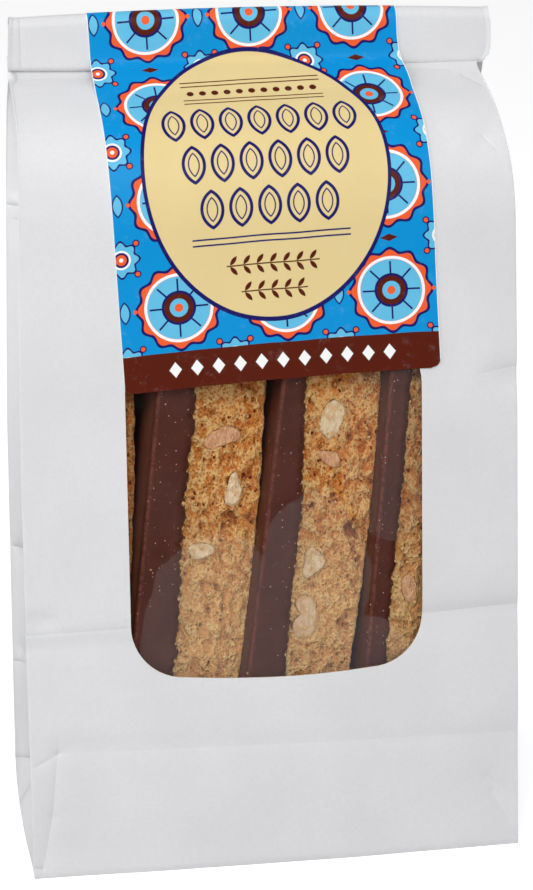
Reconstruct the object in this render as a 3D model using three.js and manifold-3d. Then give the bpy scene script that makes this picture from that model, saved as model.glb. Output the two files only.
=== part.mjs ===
// A paper bakery bag of dipped biscotti: a flat-bottomed gusseted bag with its top folded forward,
// a clear window low in its front, a label over the fold, and four biscotti standing behind the window.
// Millimetres, +Z up, the bag's front faces -Y, the origin is under the middle of its flat bottom.
import * as THREE from 'three';
import { mergeVertices } from 'three/addons/utils/BufferGeometryUtils.js';
import Module from 'manifold-3d';

const wasm = await Module();
wasm.setup();

// ---------------------------------------------------------------- sizes
const PAPER = 0.8;                 // bag wall as modelled
const GAP = 0.3;                   // air between neighbouring pieces

// The filled bag at a few heights: height, front y, back y, the front's half widths on the right and on
// the left, the back's half width, gusset inset.
const STATIONS = [
  [0, -37.2, 38.0, 60.9, 60.9, 60.9, 0],
  [30, -34.0, 34.9, 60.9, 60.9, 60.9, 0.4],
  [60, -30.8, 31.4, 60.9, 60.9, 60.9, 1.5],
  [100, -26.5, 27.4, 60.7, 60.7, 60.9, 3.5],
  [143, -22.4, 23.2, 60.2, 60.0, 60.1, 6.5],
  [160, -21.6, 22.2, 59.8, 59.4, 59.7, 9],
  [170, -19.8, 21.0, 59.0, 58.9, 59.5, 10],
  [178, -15.6, 19.0, 57.7, 58.6, 59.3, 9],
  [183, -9.8, 16.6, 57.1, 58.8, 59.2, 6.5],
  [187, -1.6, 13.6, 56.8, 59.1, 59.0, 4],
  [190.5, 6.8, 10.6, 56.3, 59.2, 58.8, 1.2],
  [198, 7.0, 9.6, 56.3, 58.6, 58.4, 0.8],
];
const RING_HEIGHTS = [0, 1, 15, 30, 48, 66, 84, 102, 122, 143, 158, 168, 175, 180, 184, 187, 190, 197];
const PANEL_STEPS = 8;             // facets across the front and back panels
const CORNER = 0.8;                // chamfer of the bag's upright creases
const PANEL_BOW = 1.1;             // how far the front and back panels belly out
const BASE_BEVEL = 0.4;            // turn of the paper round the base
const BASE_SKEW = 1.6;             // the front bottom edge stands this much further forward at its left end
const VALLEY = 0.7;                // the gusset's crease lies this far back across the side

// The folded-down top: two layers of paper rolled forward into a flat band.
const FLAP_LOW = 190.8;
const FLAP_TOP = 203.6;
const FLAP_RISE = 1.4;             // the fold arches up in the middle
const FLAP_HALF = 59.3;
const FLAP_FRONT = 5.0;
const FLAP_BACK = 10.4;

// The window in the front panel; its lower edge sags, and its upper edge is under the label.
const WINDOW = { left: -35.5, right: 36.6, low: 48.1, high: 131, radius: 13, sag: 1.1 };
const FILM = 0.35;
const FILM_MARGIN = 4;             // the film's glued border behind the panel

// The label: its width, its reach down the front and the back from the fold, its turn in degrees.
const LABEL = {
  width: 77, front: 102, back: 64, thick: 0.3, lift: 0.35, radius: 2.6, turn: 2.7, middle: -1.9,
};

// Biscotti: where the dipped back edge of the front cut face stands on the bag's bottom, its lean to the
// right in degrees, its turn about the vertical, the width of the cut face, and the chocolate's reach
// onto that face at even steps from the bottom to the top.
const SLICE_DEPTH = 19.5;
const SLICE_BACK_LEAN = 6.1;
const SLICES = [
  { x: -56.0, lean: 4.2, turn: 9, width: 16.4, length: 145, reach: [6, 7, 6, 7, 6, 5], seed: 11 },
  { x: -40.0, lean: 6.9, turn: 7.5, width: 28.0, length: 144, reach: [8, 9, 9.4, 7.6, 7.8, 6], seed: 23 },
  { x: -11.6, lean: 7.8, turn: 7.5, width: 26.5, length: 142, reach: [8.4, 9, 7.4, 7.2, 4.4, 5], seed: 37 },
  { x: 19.7, lean: 5.4, turn: 7, width: 26.0, length: 145, reach: [5, 4, 3.4, 4, 3.8, 5], seed: 51 },
];
const FOOT = 3.5;                  // height of a slice's lower end, which stands on one corner
const CRUST_DOME = 4;              // how far the crusted side bows out along its length
const TIP = 26;                    // length over which each end narrows
const CRAG = 0.7;                  // depth of the crumb's relief
const CHOCOLATE = 0.8;             // coating thickness

// Almond pieces in the cut faces: slice, across and up the face, half sizes across and up, roll in degrees.
const ALMONDS = [
  [1, 16.8, 104.0, 4.6, 2.4, 12],
  [1, 20.4, 90.8, 1.8, 4.1, 6],
  [1, 13.5, 75.6, 3.8, 2.1, 5],
  [2, 12.8, 107.4, 3.7, 5.2, -8],
  [2, 13.2, 97.8, 2.9, 2.1, 20],
  [2, 12.4, 71.0, 2.9, 4.5, -20],
  [2, 11.8, 57.8, 2.9, 5.2, -12],
  [3, 10.2, 64.2, 2.0, 3.3, -8],
];
// Hollows left where a nut dropped out: slice, across and up the face, half sizes across and up.
const HOLLOWS = [
  [1, 20.2, 83.6, 1.7, 2.2],
  [2, 22.0, 80.2, 2.1, 2.3],
];
const NUT_DEPTH = 2.6;

// ---------------------------------------------------------------- colours
const material = (color, roughness) => new THREE.MeshStandardMaterial({ color, roughness, metalness: 0 });
const PAPER_WHITE = material(0xe6e6e9, 0.75);
const FILM_CLEAR = material(0xc9cdd2, 0.15);
const LABEL_BLUE = material(0x0a93dc, 0.4);
const CRUMB = material(0xb67b3d, 0.9);
const DARK_CHOCOLATE = material(0x3a1a12, 0.35);
const NUT = material(0xd9bd92, 0.7);

// ---------------------------------------------------------------- small helpers
const clamp01 = (t) => Math.min(1, Math.max(0, t));
const smooth = (t) => t * t * (3 - 2 * t);
const rad = THREE.MathUtils.degToRad;

/** A column of STATIONS at height z, joined by straight runs rounded where they meet. */
function station(column, z) {
  const blend = 3;
  const run = (h) => {
    const last = STATIONS.length - 1;
    let k = 0;
    while (k < last - 1 && h > STATIONS[k + 1][0]) k += 1;
    const [a, b] = [STATIONS[k], STATIONS[k + 1]];
    return THREE.MathUtils.lerp(a[column], b[column], (h - a[0]) / (b[0] - a[0]));
  };
  return (run(z - blend) + 2 * run(z) + run(z + blend)) / 4;
}
const frontY = (z) => station(1, z);
const backY = (z) => station(2, z);

/** Seeded draw between 0 and 1. */
function draws(seed) {
  let state = seed;
  return () => {
    state = (state * 16807) % 2147483647;
    return state / 2147483647;
  };
}

/** Closed mesh from rings of equal length; strip = true caps a ring folded back on itself. */
function loft(rings, strip = false) {
  const n = rings[0].length;
  const position = rings.flat().flatMap((p) => [p.x, p.y, p.z]);
  const index = [];
  for (let i = 0; i + 1 < rings.length; i += 1) {
    for (let j = 0; j < n; j += 1) {
      const [a, b] = [i * n + j, i * n + ((j + 1) % n)];
      index.push(a, b, b + n, a, b + n, a + n);
    }
  }
  const cap = (base, turned) => {
    const faces = strip
      ? Array.from({ length: n / 2 - 1 }, (_, k) => [[k, k + 1, n - 2 - k], [k, n - 2 - k, n - 1 - k]]).flat()
      : THREE.ShapeUtils.triangulateShape(rings[base / n].map((p) => new THREE.Vector2(p.x, p.y)), []);
    for (const [a, b, c] of faces) {
      index.push(base + a, ...(turned ? [base + c, base + b] : [base + b, base + c]));
    }
  };
  cap(0, true);
  cap((rings.length - 1) * n, false);
  const geometry = new THREE.BufferGeometry();
  geometry.setAttribute('position', new THREE.Float32BufferAttribute(position, 3));
  geometry.setIndex(index);
  return outward(geometry);
}

/** Turns every face round when the mesh's volume comes out negative. */
function outward(geometry) {
  const p = geometry.attributes.position;
  const index = geometry.index.array;
  const [a, b, c] = [new THREE.Vector3(), new THREE.Vector3(), new THREE.Vector3()];
  let volume = 0;
  for (let i = 0; i < index.length; i += 3) {
    a.fromBufferAttribute(p, index[i]);
    b.fromBufferAttribute(p, index[i + 1]);
    c.fromBufferAttribute(p, index[i + 2]);
    volume += a.dot(b.cross(c));
  }
  if (volume < 0) {
    for (let i = 0; i < index.length; i += 3) {
      [index[i], index[i + 1]] = [index[i + 1], index[i]];
    }
  }
  return geometry;
}

/** Three.js geometry to a manifold solid. */
function solid(geometry) {
  const bare = geometry.clone();
  bare.deleteAttribute('normal');
  bare.deleteAttribute('uv');
  const merged = mergeVertices(bare, 1e-4);
  return new wasm.Manifold(new wasm.Mesh({
    numProp: 3,
    vertProperties: new Float32Array(merged.attributes.position.array),
    triVerts: new Uint32Array(merged.index.array),
  }));
}

/** Manifold solid back to a three.js geometry. */
function geometryOf(body) {
  const mesh = body.getMesh();
  const geometry = new THREE.BufferGeometry();
  geometry.setAttribute('position', new THREE.Float32BufferAttribute(mesh.vertProperties, 3));
  geometry.setIndex(Array.from(mesh.triVerts));
  return geometry;
}

const biscottiBag = new THREE.Group();
function add(name, geometry, look) {
  geometry.computeVertexNormals();
  const mesh = new THREE.Mesh(geometry, look);
  mesh.name = name;
  biscottiBag.add(mesh);
  return mesh;
}

// ---------------------------------------------------------------- the paper bag
/** Bow of the front and back panels: none at their upright edges, base and neck. */
function bow(x, z) {
  const across = 1 - Math.min(1, (x / 60) ** 2);
  const up = 0.8 + 0.2 * smooth(clamp01(z / 50));
  return PANEL_BOW * across * up * (1 - smooth(clamp01((z - 160) / 28)));
}

/** How far the base is skewed forward, fading out up the panel. */
const skew = (x, z) => BASE_SKEW * (0.5 - x / 122) * (1 - smooth(clamp01(z / 70)));

const panelY = (x, z) => frontY(z) - bow(x, z) - skew(x, z);

/** Outline of the bag at height z, t inside its skin, counter-clockwise from the front left corner. */
function outline(z, t = 0) {
  const inset = station(6, z);
  const [front, back] = [frontY(z) + t, backY(z) - t];
  const cut = Math.min(CORNER, (back - front) / 5);
  const valley = THREE.MathUtils.lerp(front, back, VALLEY);
  const thin = (run) => t * (Math.hypot(1, inset / run) + inset / run);
  const backHalf = station(5, z) - thin(back - valley);
  const frontHalf = [3, 4].map((column) => station(column, z) - thin(valley - front));
  const steps = Array.from({ length: PANEL_STEPS + 1 }, (_, k) => 2 * k / PANEL_STEPS - 1);
  const upright = (half, side) => {
    const edge = Math.min(half, backHalf);
    return [
      [side * half, front + cut - skew(side * half, z)],
      [side * (edge - inset * 0.42), (front + valley) / 2],
      [side * (edge - inset - 0.3 * t), valley],
      [side * (edge - inset * 0.42), (back + valley) / 2],
      [side * backHalf, back - cut],
    ];
  };
  return [
    ...steps.map((s) => {
      const x = s * ((s > 0 ? frontHalf[0] : frontHalf[1]) - cut);
      return [x, front - bow(x, z) - skew(x, z)];
    }),
    ...upright(frontHalf[0], 1),
    ...steps.map((s) => [-s * (backHalf - cut), back + bow(s * (backHalf - cut), z)]),
    ...upright(frontHalf[1], -1).reverse(),
  ].map(([x, y]) => new THREE.Vector3(x, y, z));
}

const atHeight = (points, z) => points.map((p) => p.clone().setZ(z));

function bagBody() {
  const outer = RING_HEIGHTS.map((z) => outline(z, z === 0 ? BASE_BEVEL : 0));
  const ceiling = 185;
  const heights = [PAPER, ...RING_HEIGHTS.filter((z) => z > 1 && z < ceiling), ceiling];
  const inner = heights.map((z) => atHeight(outline(z + PAPER, PAPER), z));
  const shell = solid(loft(outer)).add(solid(foldedTop())).subtract(solid(loft(inner)));
  return shell.subtract(solid(windowCutter()));
}

/** The rolled top as one plate with turned edges and a large round at its lower right corner. */
function foldedTop() {
  const edge = 0.9;
  const plate = new THREE.Shape();
  const w = FLAP_HALF - edge;
  const low = FLAP_LOW + edge;
  plate.moveTo(-w, low);
  plate.lineTo(w - 3.4, low);
  plate.quadraticCurveTo(w - 0.3, low + 0.4, w, low + 4.6);
  plate.lineTo(w - 0.9, FLAP_TOP - edge - 1.2);
  plate.quadraticCurveTo(w - 1.1, FLAP_TOP - edge, w - 2.4, FLAP_TOP - edge);
  const steps = 10;
  for (let k = 1; k <= steps; k += 1) {
    const x = THREE.MathUtils.lerp(w - 2.4, -w + 0.6, k / steps);
    plate.lineTo(x, FLAP_TOP - edge + FLAP_RISE * (1 - ((x - 6) / 62) ** 2));
  }
  const depth = FLAP_BACK - FLAP_FRONT - 2 * edge;
  const geometry = new THREE.ExtrudeGeometry(plate, {
    depth, bevelThickness: edge, bevelSize: edge, bevelSegments: 2, curveSegments: 3,
  });
  geometry.rotateX(Math.PI / 2);
  geometry.translate(0, FLAP_BACK - edge, 0);
  return geometry;
}

/** A prism with rounded corners through the front wall. */
function windowCutter() {
  const { left, right, low, high, radius, sag } = WINDOW;
  const shape = new THREE.Shape();
  shape.moveTo(left + radius, low);
  shape.quadraticCurveTo((left + right) / 2, low - 2 * sag, right - radius, low);
  shape.absarc(right - radius, low + radius, radius, -Math.PI / 2, 0);
  shape.lineTo(right, high - radius);
  shape.absarc(right - radius, high - radius, radius, 0, Math.PI / 2);
  shape.lineTo(left + radius, high);
  shape.absarc(left + radius, high - radius, radius, Math.PI / 2, Math.PI);
  shape.lineTo(left, low + radius);
  shape.absarc(left + radius, low + radius, radius, Math.PI, 1.5 * Math.PI);
  const geometry = new THREE.ExtrudeGeometry(shape, { depth: 50, bevelEnabled: false, curveSegments: 8 });
  geometry.rotateX(Math.PI / 2);
  return geometry;
}

/** Clear film glued behind the window, following the front panel. */
function windowFilm() {
  const rows = 12;
  const columns = 8;
  const rings = [];
  for (let i = 0; i <= rows; i += 1) {
    const z = THREE.MathUtils.lerp(WINDOW.low - FILM_MARGIN, WINDOW.high + FILM_MARGIN, i / rows);
    const line = (shift) => Array.from({ length: columns + 1 }, (_, k) => {
      const x = THREE.MathUtils.lerp(WINDOW.left - FILM_MARGIN, WINDOW.right + FILM_MARGIN, k / columns);
      return new THREE.Vector3(x, panelY(x, z) + PAPER + GAP + shift, z);
    });
    rings.push([...line(0), ...line(FILM).reverse()]);
  }
  return loft(rings, true);
}

// ---------------------------------------------------------------- the label over the fold
/** The bag's skin in a plane of constant x, from low on the back, over the fold, to low on the front. */
function skinLine(x) {
  const top = FLAP_TOP + FLAP_RISE * (1 - ((x - 6) / 62) ** 2);
  const points = [];
  for (const z of RING_HEIGHTS.filter((h) => h > 80 && h < 192)) points.push([backY(z) + bow(x, z), z]);
  points.push([FLAP_BACK + 0.1, 193], [FLAP_BACK + 0.2, top - 1.6], [FLAP_BACK, top - 0.3]);
  const foldStart = points.length;
  points.push([FLAP_BACK - 1.2, top + 0.1], [FLAP_FRONT + 1.2, top + 0.1], [FLAP_FRONT + 0.2, top - 0.2]);
  points.push([FLAP_FRONT, top - 1.6], [FLAP_FRONT, FLAP_LOW + 0.9]);
  for (const z of RING_HEIGHTS.filter((h) => h > 80 && h < 189).reverse()) points.push([panelY(x, z), z]);
  return { points: points.map(([y, z]) => new THREE.Vector2(y, z)), foldStart };
}

/** Point at distance d down the front from the fold (negative d: down the back), lifted off the skin. */
function onSkin(x, d, offset) {
  const { points, foldStart } = skinLine(x);
  const clear = points.map((p, k) => {
    const before = points[Math.max(0, k - 1)];
    const after = points[Math.min(points.length - 1, k + 1)];
    const along = after.clone().sub(before).normalize();
    return p.clone().add(new THREE.Vector2(-along.y, along.x).multiplyScalar(-offset));
  });
  let k = foldStart;
  let rest = d;
  const step = (i) => clear[i].distanceTo(clear[i + 1]);
  while (rest < 0) {
    k -= 1;
    rest += step(k);
  }
  while (rest > step(k)) {
    rest -= step(k);
    k += 1;
  }
  const q = clear[k].clone().lerp(clear[k + 1], rest / step(k));
  return new THREE.Vector3(x, q.x, q.y);
}

function labelSheet() {
  const { width, front, back, thick, radius, turn, middle } = LABEL;
  const rounding = [0, 0.3, 1].map((t) => t * radius);
  const downs = [
    ...rounding.map((r) => -back + r),
    -52, -45, -38, -32, -27, -23, -19, -15, -12, -8,
    -4, -3, -2, -1, 0, 1, 2, 3, 4, 5, 6, 7.5,
    10, 14, 17, 19.5, 22, 25, 28, 31, 34, 37, 40, 44, 48, 53, 60, 70, 80, 90,
    ...rounding.reverse().map((r) => front - r),
  ];
  const columns = 8;
  const rings = downs.map((d) => {
    const end = Math.min(front - d, d + back);
    const short = end < radius ? radius - Math.sqrt(radius ** 2 - (radius - end) ** 2) : 0;
    const line = (offset) => Array.from({ length: columns + 1 }, (_, k) => {
      const a = (width / 2 - short * 0.9) * (2 * k / columns - 1);
      const x = middle + a * Math.cos(rad(turn)) + d * Math.sin(rad(turn));
      return onSkin(x, d * Math.cos(rad(turn)) - a * Math.sin(rad(turn)), offset);
    });
    return [...line(LABEL.lift), ...line(LABEL.lift + thick).reverse()];
  });
  return loft(rings, true);
}

// ---------------------------------------------------------------- the biscotti
/** Width of a slice's cut face at height s: rounded tips, a crusted side that bows along its length. */
function faceWidth(slice, s) {
  const end = Math.min(s, slice.length - s);
  const tip = Math.sqrt(1 - (1 - clamp01(end / TIP)) ** 2);
  const dome = CRUST_DOME * (1 - (2 * s / slice.length - 1) ** 2);
  return (slice.width - CRUST_DOME) * (0.45 + 0.55 * tip) + dome;
}

const heightsOf = (slice, steps) => Array.from({ length: steps + 1 }, (_, k) => {
  const t = k / steps;
  return slice.length * (0.75 * t + 0.25 * smooth(t));
});

/** Crumb body: across x, depth y (0 is the front cut face), length z. */
function sliceBody(slice) {
  const draw = draws(slice.seed);
  const rings = heightsOf(slice, 16).map((s) => {
    const w = faceWidth(slice, s);
    const front = [0, 0.2, 0.4, 0.6, 0.8].map((t) => [w * t * 0.93 + (t === 0 ? 0.6 : 0), 0]);
    const back = front.map(([x]) => [x, SLICE_DEPTH]).reverse();
    const section = [
      ...front, [w * 0.93, 0], [w, 3], [w + 0.2, SLICE_DEPTH / 2], [w, SLICE_DEPTH - 3],
      [w * 0.93, SLICE_DEPTH], ...back, [0, SLICE_DEPTH - 0.6], [0, SLICE_DEPTH / 2], [0, 0.6],
    ];
    return section.map(([x, y]) => {
      const crag = draw() * (x > w * 0.3 ? CRAG : 0);
      const onCrust = x > w * 0.97;
      const dy = onCrust ? 0 : crag * Math.sign(SLICE_DEPTH / 2 - y);
      return new THREE.Vector3(x - (onCrust ? crag : 0), y + dy, s);
    });
  });
  return solid(loft(rings));
}

/** Chocolate round the flat back of a slice, reaching unevenly onto both cut faces. */
function coating(slice) {
  const draw = draws(slice.seed + 5);
  const steps = 20;
  const rings = Array.from({ length: steps + 1 }, (_, k) => {
    const s = THREE.MathUtils.lerp(0.8, slice.length - 0.8, k / steps);
    const t = (k / steps) * (slice.reach.length - 1);
    const i = Math.min(slice.reach.length - 2, Math.floor(t));
    const reach = THREE.MathUtils.lerp(slice.reach[i], slice.reach[i + 1], t - i);
    const [ef, eb] = [reach + (draw() - 0.5) * 1.2, reach + (draw() - 0.5) * 2];
    const far = SLICE_DEPTH;
    const [o, g] = [CHOCOLATE, GAP * 0.7];
    const outer = [
      [ef, -g - 0.25], [ef * 0.5, -o], [0.2, -o], [-o, 0.4], [-o, far - 0.4], [0.2, far + o],
      [eb * 0.5, far + o], [eb, far + g + 0.25],
    ];
    const inner = [
      [ef, -g], [ef * 0.5, -g], [0.5, -g], [-g, 0.5], [-g, far - 0.5], [0.5, far + g],
      [eb * 0.5, far + g], [eb, far + g],
    ];
    return [...outer, ...inner.reverse()].map(([x, y]) => new THREE.Vector3(x, y, s));
  });
  return solid(loft(rings, true));
}

/** An egg-shaped lump sunk in the front cut face. */
function lump([, across, up, halfAcross, halfUp, roll = 0], extra) {
  const egg = new THREE.IcosahedronGeometry(1, 1);
  egg.scale(halfAcross + extra, NUT_DEPTH + extra, halfUp + extra);
  egg.rotateY(rad(roll));
  egg.translate(across, 0.6, up);
  return solid(egg);
}

/** Everything of a nut deeper than a hair above the cut face. */
function behindFace() {
  const block = new THREE.BoxGeometry(60, 20, 200);
  block.translate(20, 10 - 0.2, 90);
  return solid(block);
}

/** Stands a slice's own frame in the bag: up its length, then across its cut face, then into the bag. */
function placeOf(slice) {
  const up = new THREE.Vector3(Math.tan(rad(slice.lean)), Math.tan(rad(SLICE_BACK_LEAN)), 1).normalize();
  const across = new THREE.Vector3(Math.cos(rad(slice.turn)), Math.sin(rad(slice.turn)), 0);
  across.addScaledVector(up, -across.dot(up)).normalize();
  const inner = new THREE.Vector3().crossVectors(up, across);
  const frame = new THREE.Matrix4().makeBasis(across, inner, up);
  const y = frontY(0) + PAPER + GAP + FILM + 2.2;
  return frame.setPosition(slice.x, y, PAPER + FOOT);
}

// ---------------------------------------------------------------- the scene graph
add('bag', geometryOf(bagBody()), PAPER_WHITE);
add('window_film', windowFilm(), FILM_CLEAR);
add('label', labelSheet(), LABEL_BLUE);

const skim = behindFace();
SLICES.forEach((slice, i) => {
  const place = placeOf(slice);
  let body = sliceBody(slice);
  const put = (name, part, look) => {
    const mesh = add(name, geometryOf(part), look);
    mesh.applyMatrix4(place);
  };
  HOLLOWS.filter((hollow) => hollow[0] === i).forEach((hollow) => {
    body = body.subtract(lump(hollow, 0));
  });
  ALMONDS.filter((nut) => nut[0] === i).forEach((nut, k) => {
    body = body.subtract(lump(nut, GAP));
    put(`almond_${i + 1}_${k + 1}`, lump(nut, 0).intersect(skim), NUT);
  });
  put(`biscotto_${i + 1}`, body, CRUMB);
  put(`chocolate_${i + 1}`, coating(slice), DARK_CHOCOLATE);
});

export default biscottiBag;
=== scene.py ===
# %% [markdown]
# # A bakery bag of dipped biscotti
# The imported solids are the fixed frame: a standing paper bag, its window film, its label and four slices
# with their chocolate and almonds. They carry the sizes and the places. This notebook gives each of them
# the surface that the real thing has. Everything is in metres in the end, but the shaping is done in
# millimetres, because those are the numbers one would read off a ruler.

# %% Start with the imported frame
import math
import random

import bmesh
import bpy
import numpy as np
from mathutils import Matrix, Vector, noise


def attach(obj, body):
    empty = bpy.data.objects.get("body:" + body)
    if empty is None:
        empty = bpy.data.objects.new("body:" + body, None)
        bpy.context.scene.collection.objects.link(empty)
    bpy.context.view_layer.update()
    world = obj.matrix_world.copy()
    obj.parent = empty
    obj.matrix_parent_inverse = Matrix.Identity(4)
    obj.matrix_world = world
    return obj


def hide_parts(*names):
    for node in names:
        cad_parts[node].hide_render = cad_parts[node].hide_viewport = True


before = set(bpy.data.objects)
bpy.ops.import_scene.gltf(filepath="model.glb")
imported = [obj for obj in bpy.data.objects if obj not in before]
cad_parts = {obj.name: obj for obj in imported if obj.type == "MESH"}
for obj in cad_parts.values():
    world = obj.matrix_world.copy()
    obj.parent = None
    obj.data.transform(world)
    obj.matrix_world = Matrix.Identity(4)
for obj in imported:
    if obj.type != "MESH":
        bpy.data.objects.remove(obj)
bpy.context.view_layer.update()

MM = 0.001

# %% [markdown]
# ## Hand tools
# Each piece starts as one of Blender's primitives, is cut into a grid in edit mode, and is then pulled into
# shape. A bag, a label and a coat of chocolate are all sheets, so one way of working does for the three:
# subdivide a box or a grid, move its corners by a rule, and give it thickness with modifiers.

# %% Hand tools
def clear_selection():
    """Object mode with nothing selected."""
    if bpy.context.object and bpy.context.object.mode != "OBJECT":
        bpy.ops.object.mode_set(mode="OBJECT")
    bpy.ops.object.select_all(action="DESELECT")


def pick(piece):
    """Makes one piece the selected and active one."""
    clear_selection()
    piece.select_set(True)
    bpy.context.view_layer.objects.active = piece


def name_piece(name):
    """Names the primitive that was just added."""
    piece = bpy.context.object
    piece.name = piece.data.name = name
    return piece


# %% [markdown]
# ## Cutting a primitive into a grid
# In edit mode an operator works on what is selected, so edges are chosen by the way they run and then
# subdivided all at once. The corners of the fine grid are then read and set as one array.

# %% Cut and shape
def choose(piece, kind, test):
    """In edit mode, selects only those edges or faces of a piece that pass a test."""
    bpy.context.tool_settings.mesh_select_mode = (False, kind == "edges", kind == "faces")
    bpy.ops.mesh.select_all(action="DESELECT")
    mesh = bmesh.from_edit_mesh(piece.data)
    for item in mesh.edges if kind == "edges" else mesh.faces:
        item.select_set(bool(test(item)))
    bmesh.update_edit_mesh(piece.data)


def runs_along(edge, axis):
    return abs((edge.verts[1].co - edge.verts[0].co).normalized()[axis]) > 0.99


def cut_box(name, segments, open_top=False):
    """A unit box centred on the origin. segments gives, for each axis, the cuts as factors of its count."""
    clear_selection()
    bpy.ops.mesh.primitive_cube_add(size=1)
    box = name_piece(name)
    bpy.ops.object.mode_set(mode="EDIT")
    for axis, factors in enumerate(segments):
        for count in factors:
            choose(box, "edges", lambda edge: runs_along(edge, axis))
            bpy.ops.mesh.subdivide(number_cuts=count - 1)
    if open_top:
        choose(box, "faces", lambda face: face.calc_center_median().z > 0.4999)
        bpy.ops.mesh.delete(type="FACE")
    bpy.ops.object.mode_set(mode="OBJECT")
    return box


def cut_sheet(name, columns, rows):
    """A unit sheet in the XY plane, from -0.5 to 0.5 both ways."""
    clear_selection()
    bpy.ops.mesh.primitive_grid_add(x_subdivisions=columns, y_subdivisions=rows, size=1)
    return name_piece(name)


def corners(piece):
    """The piece's corners as an array of rows x, y, z."""
    at = np.empty(len(piece.data.vertices) * 3)
    piece.data.vertices.foreach_get("co", at)
    return at.reshape(-1, 3)


def set_corners(piece, at):
    piece.data.vertices.foreach_set("co", np.ascontiguousarray(at, dtype=float).ravel())
    piece.data.update()


def face_outwards(piece, middle):
    """Turns a sheet over unless its face nearest to the middle looks away from it."""
    face = min(piece.data.polygons, key=lambda f: (f.center - middle).length)
    if face.normal.dot(face.center - middle) < 0:
        pick(piece)
        bpy.ops.object.mode_set(mode="EDIT")
        bpy.ops.mesh.select_all(action="SELECT")
        bpy.ops.mesh.flip_normals()
        bpy.ops.object.mode_set(mode="OBJECT")


# %% [markdown]
# ## Finishing a piece
# Modifiers bevel edges and give a sheet its thickness. A finished piece also carries numbers on its corners
# for its material, and it says which solid it stands for.

# %% Finish and hand over
def apply_step(piece, kind, **settings):
    """Adds one modifier with its settings and applies it."""
    pick(piece)
    step = piece.modifiers.new(kind.title(), kind)
    for key, value in settings.items():
        setattr(step, key, value)
    bpy.ops.object.modifier_apply(modifier=step.name)


def smooth_shading(piece, angle):
    pick(piece)
    bpy.ops.object.shade_smooth_by_angle(angle=math.radians(angle))


def point_values(piece, **numbers):
    """Stores a number of each kind for each corner, for the material to read."""
    for name, values in numbers.items():
        layer = piece.data.attributes.new(name, "FLOAT", "POINT")
        layer.data.foreach_set("value", np.asarray(values, dtype=np.float32))


def triangles(piece):
    return sum(len(face.vertices) - 2 for face in piece.data.polygons)


def hand_over(piece, material, slot, *nodes):
    """Dresses a finished piece, stands it in for its solids and lets it ride on the part."""
    if not piece.data.materials:
        piece.data.materials.append(material)
    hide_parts(*nodes)
    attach(piece, "root")
    print(piece.name, "for", ", ".join(nodes), "-", triangles(piece), "triangles")


# %% [markdown]
# ## Rules for shapes
# Three small rules make most of the shapes below: a soft step, a walk along several legs, and smooth noise.

# %% Soft steps, walks and noise
def step01(t):
    """0 to 1 with soft ends."""
    t = np.clip(t, 0, 1)
    return t * t * (3 - 2 * t)


def walked(distance, legs):
    """How far a walk gets along each of its legs, one after another."""
    done = []
    for leg in legs:
        done.append(np.clip(distance, 0, leg))
        distance = distance - leg
    return done


def soft_noise(x, y, z):
    """Smooth noise at arrays of places, about -1 to 1."""
    x, y, z = np.broadcast_arrays(x, y, z)
    flat = [noise.noise(Vector(p)) for p in zip(x.ravel(), y.ravel(), z.ravel())]
    return np.array(flat).reshape(x.shape)


# %% [markdown]
# ## The bag's form
# The bag is one paper tube. Its cross-section changes with height: a full rectangle at the flat bottom, a
# thinner one further up, and at the neck the front and the back meet. A few stations give the section at
# some heights, and everything between them is blended. Above the neck the flat tube is rolled forward, so
# the section follows a path that goes up, over, down and back up inside the band.

# %% The bag's sections and the path of its rolled top
STATIONS = np.array([
    # height, front y, back y, front half width right and left, back half width, gusset inset
    [0, -37.2, 38.0, 60.9, 60.9, 60.9, 0],
    [30, -34.0, 34.9, 60.9, 60.9, 60.9, 0.4],
    [60, -30.8, 31.4, 60.9, 60.9, 60.9, 1.5],
    [100, -26.5, 27.4, 60.7, 60.7, 60.9, 3.5],
    [143, -22.4, 23.2, 60.2, 60.0, 60.1, 6.5],
    [160, -21.6, 22.2, 59.8, 59.4, 59.7, 9],
    [170, -19.8, 21.0, 59.0, 58.9, 59.5, 13],
    [178, -15.6, 19.0, 57.7, 58.6, 59.3, 13],
    [183, -9.8, 16.6, 57.1, 58.8, 59.2, 10],
    [187, -1.6, 13.6, 56.6, 59.1, 59.0, 6],
    [190.5, 6.8, 10.6, 55.7, 59.2, 58.8, 1.2],
])
PANEL_BOW = 1.1
BASE_SKEW = 1.6
VALLEY = 0.7
FLAP_RISE = 1.4
NECK = 190.5
BAND_BACK, BAND_FRONT, BAND_INSIDE = 9.95, 5.65, 7.65
BAND_TOP, BAND_LOW = 201.05, 192.25
LEAF = 0.4
BACK_LEAF, BACK_LEAF_END = 58.8, 207
TOP_RADIUS = (BAND_BACK - BAND_FRONT) / 2
LOW_RADIUS = (BAND_INSIDE - BAND_FRONT) / 2
ROLL_LEGS = [BAND_TOP - NECK, math.pi * TOP_RADIUS, BAND_TOP - BAND_LOW, math.pi * LOW_RADIUS, 7.0]
ROLL_ENDS = NECK + np.cumsum([0] + ROLL_LEGS)
ROLL_WIDTHS = np.array([
    # distance along the tube, half width on the right and on the left
    [NECK, 55.7, 59.2], [195, 57.8, 59.0], [200, 58.6, 58.8], [204.5, 57.9, 58.6], [208.5, 59.1, 59.1],
    [214.3, 59.3, 59.3], [216.0, 58.8, 59.3], [217.3, 57.6, 59.3], [218.2, 56.2, 59.2], [228, 55.0, 58.8],
])


def station(column, height):
    """One column of the stations at any height, blended over a few millimetres."""
    height = np.asarray(height, dtype=float)
    blend = {-4: 1, -2: 2, 0: 3, 2: 2, 4: 1}
    total = sum(w * np.interp(height + d, STATIONS[:, 0], STATIONS[:, column]) for d, w in blend.items())
    return total / sum(blend.values())


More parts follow.
